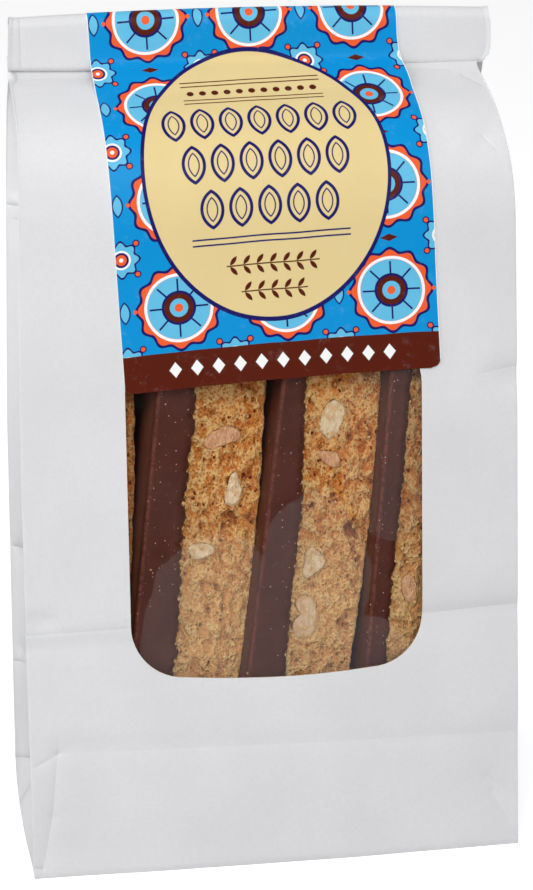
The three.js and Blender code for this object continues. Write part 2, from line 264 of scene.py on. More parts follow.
def bow(x, z):
    """How far the front and the back panel belly out."""
    across = 1 - np.minimum(1, (x / 60) ** 2)
    up = 0.8 + 0.2 * step01(z / 50)
    return PANEL_BOW * across * up * (1 - step01((z - 160) / 28))


def skew(x, z):
    """The base stands further forward at its left end."""
    return BASE_SKEW * (0.5 - x / 122) * (1 - step01(z / 70))


def band_rise(x, z=200.0):
    """How far the rolled top arches up in the middle of the bag. Its lower edge sags a little."""
    arch = FLAP_RISE * (1 - ((x - 6) / 62) ** 2)
    return arch * (1.4 * step01((z - 191.5) / 8) - 0.4)


def roll_path(s):
    """Centre line of the flat tube past the neck: y, z, and its outer side's direction in y and z."""
    legs = walked(s - NECK, ROLL_LEGS)
    over, under = legs[1] / TOP_RADIUS, legs[3] / LOW_RADIUS
    rise = step01(legs[0] / 5)
    centre = float(station(1, NECK) + station(2, NECK)) / 2
    y = centre + (BAND_BACK - centre) * rise
    y = y - TOP_RADIUS * (1 - np.cos(over)) + LOW_RADIUS * (1 - np.cos(under))
    z = NECK + legs[0] + TOP_RADIUS * np.sin(over) - legs[2] - LOW_RADIUS * np.sin(under) + legs[4]
    turn = over + under
    return y, z, np.cos(turn), np.sin(turn)


print("tube from base to mouth:", round(float(ROLL_ENDS[-1]), 1), "mm")

# %% [markdown]
# ## Creases in the paper
# A filled bag keeps the folds from when it lay flat: a level crease a third of the way up, another one near
# the base, slanting ones in the side gussets and a dent or two. They are small, but without them paper
# looks like plastic. They are worked out as a height over the smooth panel, so that the label and the
# film, which lie on the same panel, can follow it.

# %% Creases in the paper
def fold_line(distance, depth, above, below):
    """Depth of one folded line: it falls away over one width above the line and another below it."""
    width = np.where(distance > 0, above, below)
    return -depth * np.exp(-np.abs(distance) / width)


def spot(x, z, at_x, at_z, reach_x, reach_z):
    """A soft round spot: 1 at its middle, gone at about twice its reach."""
    return np.exp(-((x - at_x) / reach_x) ** 2 - ((z - at_z) / reach_z) ** 2)


DENTS = [
    # middle across and up, reach across and up, depth
    (60.5, 118.6, 6.5, 3.4, 0.9), (-57, 63.6, 4.5, 2.0, 0.7), (56, 24, 12, 9, 0.5), (-46, 14, 9, 16, 0.4),
]


def front_relief(x, z):
    """Height of the front panel's paper over its smooth form."""
    x, z = np.broadcast_arrays(np.asarray(x, dtype=float), np.asarray(z, dtype=float))
    height = 0.45 * soft_noise(x / 34, z / 41, 3.1) + 0.12 * soft_noise(x / 12, z / 15, 8.4)
    height += fold_line(z - 59.1 - 0.03 * x, 0.85, 3.0, 9.0) + fold_line(z - 31.0 + 0.035 * x, 0.30, 1.8, 3.0)
    height += 0.25 * step01((7 - z) / 7) - sum(dent[-1] * spot(x, z, *dent[:-1]) for dent in DENTS)
    height += spot(x, z, 54, 176, 5, 6) * fold_line((z - 176.5) * 0.8 - (x - 53), 0.7, 1.2, 1.2)
    shoulder = step01((z - 150) / 20) * (1 - step01((z - 184) / 6))
    height += 0.22 * shoulder * soft_noise(x / 9, z / 26, 5.7)
    return height * (1 - step01((z - 186) / 4))


def side_relief(across, z, side):
    """How far the gusset's paper is pushed in. across runs from 0 at the front edge to 1 at the back."""
    push = 0.25 + 0.30 * soft_noise(across * 1.7, z / 30, 11.0 + side)
    for start in (81, 53):
        push -= fold_line(z - start + 20 * across, 1.2, 1.8, 4.5)
    toe = step01((34 - z) / 6)
    push -= toe * fold_line(z - 28.5 * (1 - across), 1.3, 1.8, 3.5)
    push -= toe * fold_line(z - 28.5 * (1 - across / 0.57), 1.6, 1.8, 2.6)
    push -= fold_line(z - 158 + 8 * across, 0.9, 3.5, 5.0)
    push += 0.8 * step01((72 - z) / 14) + 2.4 * np.clip((178 - z) / 20, 0, 1) * step01((z - 157.0) / 1.6)
    push = np.minimum(push, 0.9 + 0.11 * np.maximum(z - 10, 0))
    edge = np.minimum(across, 1 - across)
    belly = 1.1 * (1 - (2 * across - 1) ** 2) * (1 - step01(z / 26))
    return np.maximum(push, 0) * step01(edge / 0.12) * step01(z / 12) - belly


def front_skin(x, z):
    """y of the front panel's paper at x and z."""
    return station(1, z) - bow(x, z) - skew(x, z) - front_relief(x, z)


def back_skin(x, z):
    """y of the back panel's paper at x and z."""
    calm = 0.30 * soft_noise(x / 37, z / 44, 21.3) + fold_line(z - 58, 0.35, 3, 5)
    return station(2, z) + bow(x, z) + calm * (1 - step01((z - 184) / 5))


print("front paper up the middle, in mm:", np.round(front_skin(0, np.array([10, 60, 120, 180])), 1))

# %% [markdown]
# ## The paper bag
# A box is cut into a fine grid and opened at its top. Each of its corners keeps a place across, a place
# deep and a place along the tube, and the rule for the section at that place puts it on the bag. It is
# one sheet from the base to the mouth, as the real bag is, and not five plates. A bevel softens
# the folded edges, and a thickness turns the sheet into paper.

# %% Shape the paper tube
ACROSS, DEEP, ALONG = (8, 10), (4, 7), (10, 20)
RING_STOPS, RING_COUNTS = [0, 150, *ROLL_ENDS], [96, 36, 12, 16, 13, 14, 12]
NEXT_TO_EDGE = 0.988
TUCK_DEEP, TUCK_LOW = 1.6, 1.0


def tube_rings():
    """Distances along the tube of its rings: wide apart on the panels, close together in the rolled top."""
    parts = [np.linspace(start, stop, count, endpoint=False)
             for start, stop, count in zip(RING_STOPS, RING_STOPS[1:], RING_COUNTS)]
    return np.concatenate(parts + [RING_STOPS[-1:]])


def tube_halves(u, s):
    """Half widths of the tube's front and back at the distance s, on the side where u is."""
    right, left = (np.where(s < NECK, station(c, s), np.interp(s, ROLL_WIDTHS[:, 0], ROLL_WIDTHS[:, k]))
                   for c, k in ((3, 1), (4, 2)))
    front = np.where(u > 0, right, left)
    rolled = np.where(s < BACK_LEAF_END, np.maximum(front, BACK_LEAF), front)
    return front, np.where(s < NECK, station(5, s), rolled)


def on_tube(box):
    """Box corners, each -0.5 to 0.5, to places on the bag in millimetres."""
    rings = tube_rings()
    u, v, w = 2 * box[:, 0], 2 * box[:, 1], box[:, 2] + 0.5
    u = np.where(np.abs(np.abs(u) - 1 + 2 / math.prod(ACROSS)) < 1e-4, np.sign(u) * NEXT_TO_EDGE, u)
    s = np.interp(w * (len(rings) - 1), np.arange(len(rings)), rings)
    deep = (v + 1) / 2
    front_half, back_half = tube_halves(u, s)
    half = front_half + (back_half - front_half) * deep
    inset = np.where(s < NECK, station(6, s), 1.0)
    valley = np.where(deep < VALLEY, deep / VALLEY, (1 - deep) / (1 - VALLEY))
    on_side = (np.abs(u) > 0.999) & (w > 1e-6)
    pull = np.where(on_side, inset * valley, 0)
    for side, seed in ((-1, 0.0), (1, 7.0)):
        here = on_side & (s < NECK) & (np.sign(u) == side)
        pull[here] += side_relief(deep[here], s[here], seed)
    x = u * half - np.sign(u) * pull
    y_path, z_path, out_y, out_z = roll_path(s)
    neck_half = float(station(2, NECK) - station(1, NECK)) / 2
    thick = LEAF + (neck_half - LEAF) * (1 - step01((s - NECK) / 4))
    body = s < NECK
    y = y_path + out_y * v * thick
    z = z_path + out_z * v * thick
    front, back = front_skin(x[body], s[body]), back_skin(x[body], s[body])
    y[body] = front + (back - front) * deep[body]
    z[body] = s[body]
    z = z + band_rise(x, z) * step01((s - 184) / 6)
    near_front = np.clip(1 - deep / 0.35, 0, 1) ** 2 * (0.25 + 0.75 * step01((10 - x) / 40))
    tuck = near_front * step01((s - 189.0) / 1.2) * (1 - step01((s - 192.6) / 2.0))
    z = z - TUCK_LOW * np.exp(-((s - 190.3) / 1.3) ** 2) * near_front
    return np.stack([x, y + TUCK_DEEP * tuck, z], 1)


paper_bag = cut_box("paper_bag", (ACROSS, DEEP, ALONG), open_top=True)
set_corners(paper_bag, on_tube(corners(paper_bag)) * MM)
print("paper tube:", len(paper_bag.data.vertices), "corners")

# %% Give the paper its folded edges and its thickness
PAPER, FOLD_BEVEL = 0.28, 0.35
apply_step(paper_bag, "BEVEL", width=FOLD_BEVEL * MM, segments=2, limit_method="ANGLE",
           angle_limit=math.radians(50))
apply_step(paper_bag, "SOLIDIFY", thickness=PAPER * MM, offset=-1, use_even_offset=False)

# %% [markdown]
# ## The window
# The window is cut with a block that has the window's outline: a box whose four upright corners are
# rounded, and whose lower edge sags a little, as the die cut it. A Boolean takes it out of the
# front panel. The paper's cut edge keeps a colour of its own.

# %% Cut the window
WINDOW = {"left": -35.5, "right": 36.6, "low": 48.1, "high": 131, "radius": 13, "sag": 1.1}
WINDOW_SIZE = np.array([WINDOW["right"] - WINDOW["left"], WINDOW["high"] - WINDOW["low"]])
WINDOW_AT = np.array([WINDOW["left"], WINDOW["low"]]) + WINDOW_SIZE / 2
LOWEST = (WINDOW["low"] + 0.01) * MM


def is_low_edge(edge):
    """True for the long edges at the foot of the window."""
    low = max(edge.verts[0].co.z, edge.verts[1].co.z) < LOWEST
    return low and runs_along(edge, 0) and edge.calc_length() > 10 * MM


def window_block():
    """The block that is cut out of the front panel."""
    clear_selection()
    bpy.ops.mesh.primitive_cube_add(size=1, location=Vector((WINDOW_AT[0], -34, WINDOW_AT[1])) * MM)
    block = name_piece("window_block")
    bpy.ops.transform.resize(value=(WINDOW_SIZE[0] * MM, 40 * MM, WINDOW_SIZE[1] * MM))
    bpy.ops.object.transform_apply(location=True, rotation=False, scale=True)
    bpy.ops.object.mode_set(mode="EDIT")
    choose(block, "edges", lambda edge: runs_along(edge, 1))
    bpy.ops.mesh.bevel(offset=WINDOW["radius"] * MM, segments=12)
    choose(block, "edges", is_low_edge)
    bpy.ops.mesh.subdivide(number_cuts=14)
    bpy.ops.object.mode_set(mode="OBJECT")
    at = corners(block)
    across = (at[:, 0] / MM - WINDOW_AT[0]) / (WINDOW_SIZE[0] / 2 - WINDOW["radius"])
    at[:, 2] -= np.where(at[:, 2] < LOWEST, WINDOW["sag"] * np.clip(1 - across ** 2, 0, 1), 0) * MM
    set_corners(block, at)
    return block


block = window_block()
apply_step(paper_bag, "BOOLEAN", object=block, operation="DIFFERENCE", solver="MANIFOLD")
bpy.data.objects.remove(block)
smooth_shading(paper_bag, 35)
print("bag with its window:", triangles(paper_bag), "triangles")

# %% [markdown]
# ## The film in the window
# Clear film is glued behind the window with a narrow border. It hangs a little slack, so it has long soft
# ripples, and the slices press and rub against it, which leaves hazy patches; these patches also carry a
# painted reflection of the lamps. Film this thin doesn't bend light, so it is drawn as a nearly clear skin
# with a shine, and a haze decides how milky it is.

# %% Lay the film behind the window
FILM_MARGIN, FILM_BORDER, FILM_SLACK, FILM_THICK = 3.6, 0.42, 0.62, 0.04
FILM_HELD = 14


def film_skin(x, z):
    """y of the film's outer face: close behind the paper at its border, a little deeper in the middle."""
    inside_x = WINDOW_SIZE[0] / 2 - np.abs(x - WINDOW_AT[0])
    inside_z = WINDOW_SIZE[1] / 2 - np.abs(z - WINDOW_AT[1])
    free = step01(np.minimum(inside_x, inside_z) / FILM_HELD)
    ripple = 0.16 * soft_noise(x / 22, z / 60, 31.0) + 0.05 * soft_noise(x / 6, z / 25, 37.0)
    return front_skin(x, z) + FILM_BORDER + free * (FILM_SLACK + ripple + 0.5 * front_relief(x, z))


film = cut_sheet("clear_window_film", 76, 90)
film_x, film_z = (WINDOW_AT + corners(film)[:, :2] * (WINDOW_SIZE + 2 * FILM_MARGIN)).T
set_corners(film, np.stack([film_x, film_skin(film_x, film_z), film_z], 1) * MM)
apply_step(film, "SOLIDIFY", thickness=FILM_THICK * MM, offset=-1)
smooth_shading(film, 60)

# %% [markdown]
# ## The slices
# A biscotto is a slice of a baked log, so its two wide faces are cut crumb, torn open and full of holes,
# and its narrow outer side is crust. The base of the log was dipped in chocolate. Each slice starts as a
# box cut into a fine grid, is pulled to the slice's outline, and then every corner of the cut faces sinks
# by a depth made of noise: big slow waves, pores of two sizes and fine grain. The depth is
# also stored, and the material uses it to paint the holes darker, as painted shade, and to leave the ridges
# pale.

# %% Slice sizes and places
SLICE_DEPTH = 19.5
SLICE_BACK_LEAN = 6.1
SLICES = [
    {"x": -56.0, "lean": 4.2, "turn": 9, "width": 17.2, "length": 145, "reach": [6, 7, 6, 7, 6, 5]},
    {"x": -40.0, "lean": 6.9, "turn": 7.5, "width": 28.0, "length": 144, "reach": [8, 9, 9.4, 7.6, 7.8, 6]},
    {"x": -11.6, "lean": 7.8, "turn": 7.5, "width": 26.5, "length": 142, "reach": [8.4, 9, 7.4, 7.2, 4.4, 5]},
    {"x": 19.7, "lean": 5.4, "turn": 7, "width": 26.0, "length": 145, "reach": [5, 4, 3.4, 4, 3.8, 5]},
]
FRONT_STAND, FLOOR_STAND = -33.55, 4.3
CRUST_DOME, TIP = 4, 26
EDGE_ROUND, EDGE_REACH = 1.1, 2.0
CRUMB_SUNK, HOLLOW_DEEP, NUT_BED, NUT_RING = 0.12, 2.2, 1.4, 0.22
NUTS = [
    # slice, middle of the cut nut across and up the face, what the cut shows, and its reach in 16 directions
    # from the right round over the top
    (1, 16.7, 103.9, "skin side",
     [4.1, 4.6, 4.0, 3.3, 3.0, 2.7, 2.7, 3.2, 4.4, 5.1, 4.3, 2.1, 1.8, 1.6, 1.7, 2.2]),
    (1, 20.6, 91.6, "edge",
     [2.1, 1.9, 1.9, 2.4, 4.4, 3.1, 2.1, 1.7, 1.7, 2.0, 2.8, 4.2, 4.5, 3.6, 2.7, 2.3]),
    (1, 13.9, 75.6, "face",
     [3.6, 3.3, 2.8, 2.3, 2.2, 2.3, 2.5, 3.2, 3.6, 2.8, 2.8, 2.3, 2.0, 1.8, 1.9, 2.4]),
    (2, 13.0, 107.4, "face",
     [2.8, 3.4, 4.2, 4.8, 5.1, 4.2, 3.4, 3.0, 3.0, 3.4, 3.9, 4.3, 4.8, 4.1, 2.9, 2.6]),
    (2, 13.3, 97.6, "skin side",
     [3.1, 2.9, 2.8, 2.1, 1.9, 2.1, 2.8, 3.4, 2.0, 1.5, 1.3, 1.4, 1.5, 1.9, 2.9, 3.5]),
    (2, 13.1, 71.3, "half",
     [2.4, 3.1, 3.0, 3.1, 3.4, 4.5, 3.8, 3.0, 2.7, 3.0, 4.0, 4.2, 2.6, 2.1, 2.0, 2.1]),
    (2, 12.4, 57.9, "pink face",
     [2.9, 2.8, 3.3, 4.6, 5.4, 5.9, 4.5, 1.6, 1.8, 3.4, 4.2, 5.5, 5.6, 5.2, 4.4, 3.3]),
    (3, 8.9, 62.7, "pale crumb",
     [1.9, 2.0, 2.3, 3.1, 3.8, 3.4, 2.8, 2.3, 2.0, 2.0, 2.1, 2.7, 3.4, 4.2, 3.0, 2.2]),
]
HOLLOWS = [(1, 20.2, 84.0, 2.0, 2.6), (2, 22.0, 80.2, 2.1, 2.3)]
NUT_NAMES = ["almond_" + place for place in ("2_1", "2_2", "2_3", "3_1", "3_2", "3_3", "3_4", "4_1")]


def nut_reach(reaches, turn):
    """How far a cut nut reaches in the direction turn, in radians."""
    steps = len(reaches)
    at = np.mod(turn / (2 * math.pi), 1) * steps
    return np.interp(at, np.arange(steps + 1), reaches + reaches[:1])


def face_width(slice_, s):
    """Width of the cut face at height s: narrow rounded tips and a crust that bows along its length."""
    end = np.minimum(s, slice_["length"] - s)
    tip = np.sqrt(np.maximum(0, 1 - (1 - np.clip(end / TIP, 0, 1)) ** 2))
    dome = CRUST_DOME * (1 - (2 * s / slice_["length"] - 1) ** 2)
    return (slice_["width"] - CRUST_DOME) * (0.45 + 0.55 * tip) + dome


def coat_line(slice_, s):
    """How far the coat reaches over the cut face at height s, without its ragged rim."""
    return np.interp(s / slice_["length"], np.linspace(0, 1, len(slice_["reach"])), slice_["reach"])


def slice_place(slice_):
    """Matrix from a slice's own millimetres (across, depth, up) to the bag's."""
    lean, back = math.tan(math.radians(slice_["lean"])), math.tan(math.radians(SLICE_BACK_LEAN))
    turn = math.radians(slice_["turn"])
    up = Vector((lean, back, 1)).normalized()
    across = Vector((math.cos(turn), math.sin(turn), 0))
    across = (across - across.dot(up) * up).normalized()
    inner = up.cross(across)
    place = Matrix((across, inner, up)).transposed().to_4x4()
    place.translation = Vector((slice_["x"], FRONT_STAND, FLOOR_STAND))
    return place


def put(at, slice_):
    """Slice millimetres to metres on the bag."""
    place = slice_place(slice_)
    return (at @ np.array(place.to_3x3()).T + np.array(place.translation)) * MM


# %% [markdown]
# ## The crumb
# Crumb is foam that was torn. Its depth is a sum: slow waves, torn clumps, bubbles, grit and a few larger
# holes. Near a nut the crumb gives way to the nut's own bed, and under the coat it is smooth.

# %% Bake the crumb
def holes(p, seed, size, stretch, share):
    """Round holes: 0 on the crumb, 1 at the middle of a hole. Only a share of the cells holds one."""
    hole = np.zeros(len(p))
    for i, (x, y, z) in enumerate(p):
        spot = Vector((x / size + seed, y / size, z / (size * stretch)))
        gaps, seeds = noise.voronoi(spot)
        chance = 0.5 + 0.5 * noise.cell(seeds[0] * 7.31)
        if chance < share:
            hole[i] = max(0.0, 1 - gaps[0] / (0.22 + 0.26 * chance / share))
    return hole


def bubbles(p, seed, size):
    """Foam: 1 in the middle of each bubble, about 0 on the walls between them."""
    spots = p / size
    spots[:, [0, 2]] += 0.4 * np.stack([soft_noise(*spots.T + seed), soft_noise(*spots.T + seed + 9)], 1)
    return np.clip(1 - np.array([noise.voronoi(Vector(spot))[0][0] for spot in spots]) / 0.7, 0, 1)


def crumb_depth(p, seed):
    """How deep the torn crumb lies at each place, in millimetres, and where its larger holes are."""
    x, y, z = p.T
    waves = 0.5 + 0.5 * soft_noise(x / 6 + seed, y / 6, z / 8)
    torn = step01(0.5 + 0.9 * soft_noise(x / 2.2 + seed, y / 2.4, z / 3.2))
    grit = 0.5 + 0.5 * soft_noise(x / 0.8 + seed, y / 0.8, z / 1.0)
    large = holes(p, seed, 2.0, 1.5, 0.30)
    depth = 0.20 * waves + 0.85 * torn + 0.45 * bubbles(p, seed, 1.45) + 0.20 * grit
    return depth + 1.5 * (1 - (1 - large) ** 2), large


def bake_slice(number, slice_, spacing):
    """One slice: a box cut fine, pulled to the slice's outline, its crumb sunk and its place set."""
    up_cuts = int(slice_["length"] / spacing / 10)
    across_cuts = max(2, round(slice_["width"] / spacing / 8))
    piece = cut_box("crumb_slice_%d" % number, ((8, across_cuts), (5, 6), (10, up_cuts)))
    unit = corners(piece)
    u, v, w = unit[:, 0] + 0.5, unit[:, 1] + 0.5, unit[:, 2] + 0.5
    seed = 13.7 * number
    s = slice_["length"] * (0.5 + 0.5 * np.sin((w - 0.5) * math.pi) * 0.18 + (w - 0.5) * 0.82)
    ragged = 0.40 * soft_noise(s / 3.1, v * 5, seed) + 0.16 * soft_noise(s / 1.1, v * 9, seed + 5)
    wide = face_width(slice_, s) + ragged
    corner = np.minimum(v, 1 - v) * SLICE_DEPTH
    rounded = EDGE_ROUND * np.clip(1 - corner / EDGE_REACH, 0, 1) ** 2
    x = u * wide - rounded * np.clip(2 * u - 1, 0, 1) ** 3
    depth, large = crumb_depth(np.stack([x, v * SLICE_DEPTH, s], 1), seed)
    reach = coat_line(slice_, s)
    bare = step01((x - reach + 2.2) / 1.6)
    in_front = v < 0.5
    hollow = np.zeros(len(x))
    for owner, ax, az, half_x, half_z in HOLLOWS:
        if owner == number - 1:
            round_ = np.hypot((x - ax) / half_x, (s - az) / half_z) + 0.5 * soft_noise(x / 1.2, s / 1.4, seed)
            hollow = np.maximum(hollow, np.sqrt(np.clip(1 - round_ ** 2, 0, 1)) * in_front)
    depth = depth * (1 - 0.8 * hollow) + HOLLOW_DEEP * hollow
    for owner, ax, az, _, reaches in NUTS:
        if owner == number - 1:
            dx, dz = x - ax, s - az
            inner = np.hypot(dx, dz) / nut_reach(reaches, np.arctan2(dz, dx))
            ring, near = 0.8 * np.exp(-((inner - 1.10) / 0.15) ** 2), 1 - step01((inner - 0.74) / 0.12)
            for share, level in ((ring, NUT_RING), (near, NUT_BED)):
                depth = depth + in_front * share * (level - depth)
    on_front, on_back = v < 0.001, v > 0.999
    sunk = depth * bare + CRUMB_SUNK
    y = v * SLICE_DEPTH + np.where(on_front, sunk, 0) - np.where(on_back, sunk, 0)
    on_crust = (u > 0.999) & ~on_front & ~on_back
    x = x - np.where(on_crust, 0.15 * depth, 0)
    set_corners(piece, put(np.stack([x, y, s], 1), slice_))
    # the hole mask also carries painted shade: the first slice, deep and shadowed behind the window's edge,
    # is painted darker all over
    point_values(piece, hole=step01(large * 1.5 + 0.8 * (number == 1)), hollow=step01(hollow * 1.4),
                 depth=np.clip(depth / HOLLOW_DEEP, 0, 1), crust=step01((x / wide - 0.955) / 0.045),
                 from_coat=np.clip((x - reach) / np.maximum(1, wide - reach), 0, 1))
    smooth_shading(piece, 180)
    return piece


COARSE, FINE = 0.62, 0.37
crumb_slices = [bake_slice(number, slice_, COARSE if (number == 1) else FINE)
                for number, slice_ in enumerate(SLICES, 1)]
print("slices:", [triangles(piece) for piece in crumb_slices], "triangles")

# %% [markdown]
# ## The chocolate
# The base of each slice was dipped, so the coat wraps round that narrow side and ends in a wavy line on
# both cut faces. It is a sheet bent to a U, a little proud of the crumb, its rims tucked in. The edges
# of the base give it two long soft ridges.

# %% Dip the bases
COAT, COAT_CORNER, COAT_WALL = 0.70, 0.30, 0.9
COAT_ENDS, COAT_ROWS = 0.8, 330
COAT_COLUMNS = [0, 22, 34, 45, 57, 74]
# the coat whose dipped base side is painted pale: painted light where lamp light falls on that side
LIT_SIDE_COAT = 2


def chocolate_reach(slice_, s, seed):
    """Width of the coat on a cut face: the slow change along the slice and the ragged line of the rim."""
    ragged = 0.5 * soft_noise(s / 4.5, seed, 2.0) + 0.7 * soft_noise(s / 1.7, seed, 4.0)
    return coat_line(slice_, s) + ragged + 0.45 * soft_noise(s / 0.8, seed, 6.0)


def dip(number, slice_):
    """One coat: a grid bent round the base of the slice, in three straight legs and two round corners."""
    coat = cut_sheet("chocolate_coat_%d" % number, COAT_COLUMNS[-1], COAT_ROWS)
    unit = corners(coat)
    column = (unit[:, 0] + 0.5) * COAT_COLUMNS[-1]
    s = COAT_ENDS + (unit[:, 1] + 0.5) * (slice_["length"] - 2 * COAT_ENDS)
    front, back = (chocolate_reach(slice_, s, seed + 3.3 * number) + COAT - COAT_CORNER for seed in (0, 50))
    deep, corner = SLICE_DEPTH + 2 * COAT - 2 * COAT_CORNER, COAT_CORNER * math.pi / 2
    lengths = [front, corner, deep, corner, back]
    along = sum(length * np.clip((column - start) / (stop - start), 0, 1)
                for length, start, stop in zip(lengths, COAT_COLUMNS, COAT_COLUMNS[1:]))
    legs = walked(along, lengths)
    turn = (legs[1] + legs[3]) / COAT_CORNER
    out_x, out_y = -np.sin(turn), -np.cos(turn)
    x = COAT_CORNER * (1 + out_x) + front - legs[0] + legs[4]
    y = COAT_CORNER * (1 + out_y) + legs[2]
    rim = np.minimum(along, sum(lengths) - along)
    swell = 0.06 * soft_noise(x / 6, y / 7 + number, s / 16) + 0.03 * soft_noise(x / 2, y / 2, s / 3)
    full = np.sqrt(np.clip(1 - (1 - np.clip(rim / 1.3, 0, 1)) ** 2, 0, 1))
    proud = swell - (1 - full) * (2 * COAT + 0.05) + 0.08 * np.exp(-((rim - 1.5) / 0.8) ** 2)
    set_corners(coat, put(np.stack([x - COAT + out_x * proud, y - COAT + out_y * proud, s], 1), slice_))
    past_front = along - front
    # side marks the dipped base side, which the material paints a lighter, redder brown as painted light
    side = step01((past_front - COAT_CORNER) / 0.5)
    # the ridge line: partly bloom on the chocolate, partly a painted highlight on the rounded edge
    ridge = np.exp(-((past_front - 0.45 * COAT_CORNER) / 0.11) ** 2)
    # painted light: the front part of this coat's base side is painted pale
    rubbed = (number == LIT_SIDE_COAT) * step01((14 - past_front) / 8)
    point_values(coat, ridge=ridge, side=side * (number != LIT_SIDE_COAT), rubbed=side * rubbed)
    middle = Vector((slice_["width"] / 2, SLICE_DEPTH / 2, slice_["length"] / 2))
    face_outwards(coat, slice_place(slice_) @ middle * MM)
    apply_step(coat, "SOLIDIFY", thickness=COAT_WALL * MM, offset=-1)
    smooth_shading(coat, 60)
    return coat


coats = [dip(number, slice_) for number, slice_ in enumerate(SLICES, 1)]
print("coats:", [triangles(coat) for coat in coats])

# %% [markdown]
# ## The almonds
# Whole almonds were baked into the log and cut with it. What shows is a pale cut face, flush with
# the crumb, with a thin rim of brown skin where the cut ran near the outside of the nut.

# %% Set the almonds into the cut faces
SKIN_SIDES = {"face": 0.9, "half": -0.1, "pink face": 2.6, "edge": 0.2}
PINKNESS = {"skin side": 0.85, "pink face": 0.25, "pale crumb": 0.7}


def set_almond(name, nut):
    """One almond piece: a ball drawn out to the nut's outline, cut flat at the face, broken at its rim."""
    owner, ax, az, kind, reaches = nut
    clear_selection()
    bpy.ops.mesh.primitive_uv_sphere_add(segments=128, ring_count=64, radius=1, rotation=(math.pi / 2, 0, 0))
    piece = name_piece(name)
    bpy.ops.object.transform_apply(rotation=True)
    ball = corners(piece)
    seed = az * 0.37
    turn = np.arctan2(ball[:, 2], ball[:, 0])
    ring_x, ring_z = np.cos(turn), np.sin(turn)
    outline = nut_reach(reaches, turn) * (1 + 0.05 * soft_noise(ring_x * 5 + seed, ring_z * 5, 2.0))
    outline += 0.20 * soft_noise(ring_x * 13 + seed, ring_z * 13, 3.0)
    outline += 0.14 * soft_noise(ring_x * 29, ring_z * 29, seed)
    reach = np.hypot(ball[:, 0], ball[:, 2])
    flat = np.clip(reach / 0.95, 0, 1)
    x, z = flat * outline * ring_x, flat * outline * ring_z
    front = ball[:, 1] < 0.31
    face = 0.02 + 0.26 * soft_noise(x / 1.9 + seed, z / 2.6, 3.0)
    face += 0.12 * soft_noise(x / 0.7, z / 1.0, seed)
    face += 0.10 * soft_noise(x / 0.45, z / 0.6, seed + 3) * step01((reach - 0.5) / 0.4)
    face += 0.42 * step01((reach - 0.80) / 0.20)
    y = np.where(front, face, 0.9 + 1.8 * np.maximum(ball[:, 1], 0))
    set_corners(piece, put(np.stack([ax + x, y, az + z], 1), SLICES[owner]))
    skin = step01((reach - 0.86) / 0.08) * step01(np.cos(turn - SKIN_SIDES.get(kind, 0.0)) * 1.6 - 0.1)
    point_values(piece, skin=skin * (kind != "pale crumb"), pink=np.full(len(x), PINKNESS.get(kind, 0.0)))
    smooth_shading(piece, 180)
    return piece


almonds = [set_almond("cut_" + name, nut) for name, nut in zip(NUT_NAMES, NUTS)]
print("almonds:", len(almonds), "of", triangles(almonds[0]), "triangles")

# %% [markdown]
# ## Loose crumbs
# Torn crumb sheds: small bits cling to the edge of the chocolate and lie on the face. They are
# all one mesh. A bit is a rough ball with few faces, modelled once; each copy gets its own size, turn
# and place from a seeded list of random numbers, so that every run gives the same crumbs.

# %% Scatter the crumbs
BITS_EACH, BITS_SEED = 150, 11


def crumb_bit():
    """One rough bit, about 1 mm across before it is scaled."""
    clear_selection()
    bpy.ops.mesh.primitive_ico_sphere_add(subdivisions=2, radius=0.5)
    bit = name_piece("crumb_bit")
    at = corners(bit)
    at *= 1 + 0.5 * soft_noise(at[:, 0] * 3, at[:, 1] * 3, at[:, 2] * 3)[:, None]
    faces = [tuple(face.vertices) for face in bit.data.polygons]
    bpy.data.objects.remove(bit)
    return at, faces


def scatter_crumbs(seed):
    """Places for the bits: most along the rim of the coat, some out on the chocolate, some on the crumb."""
    chance = random.Random(seed)
    spots = []
    for number, slice_ in enumerate(SLICES, 1):
        for _ in range(BITS_EACH):
            s = chance.uniform(30, 135)
            rim = float(coat_line(slice_, s))
            kind = chance.random()
            if kind < 0.55:
                x, y, size = rim + chance.gauss(0.1, 0.45), -0.62, chance.uniform(0.3, 0.85)
            elif kind < 0.65:
                x, y, size = chance.uniform(0.5, rim), -COAT - 0.02, chance.uniform(0.15, 0.32)
            else:
                x, y, size = chance.uniform(rim + 1, slice_["width"] - 3), 0.12, chance.uniform(0.35, 0.8)
            spots.append((slice_, x, y, s, size, chance.uniform(0, 6.28), chance.uniform(0, 6.28)))
    return spots


bit, bit_faces = crumb_bit()
bits, faces = [], []
for slice_, x, y, s, size, turn_a, turn_b in scatter_crumbs(BITS_SEED):
    turned = bit @ np.array(Matrix.Rotation(turn_a, 3, "X") @ Matrix.Rotation(turn_b, 3, "Z")).T
    stretched = turned * size * np.array([1, 0.7, 1.2]) + [x, y, s]
    faces.extend(tuple(v + len(bits) * len(bit) for v in face) for face in bit_faces)
    bits.append(put(stretched, slice_))
loose_mesh = bpy.data.meshes.new("loose_crumbs")
loose_mesh.from_pydata(np.concatenate(bits).tolist(), [], faces)
loose_crumbs = bpy.data.objects.new("loose_crumbs", loose_mesh)
bpy.context.collection.objects.link(loose_crumbs)
print("loose crumbs:", len(bits), "bits,", triangles(loose_crumbs), "triangles")

# %% [markdown]
# ## The label
# The label is a strip of glossy paper with round corners. It starts low on the back, goes over the fold
# and runs down the front to the window. It follows the bag's skin, and bridges the step under the
# rolled top in a soft curve. Its print is made of simple shapes, worked out in millimetres from
# the place on the strip, which is stored as a UV map.

# %% Lay the label over the fold
LABEL = {"width": 77, "front": 102, "back": 64, "radius": 2.6, "turn": 2.7, "middle": -1.9, "tuck": 1.5}
LABEL_LIFT, LABEL_THICK, LABEL_PULL = 0.12, 0.2, 1.15
LABEL_STEP, LABEL_SOFTENING = 0.6, 6
FOLD_BACK, FOLD_FRONT, FOLD_TOP = 10.35, 5.25, 203.6


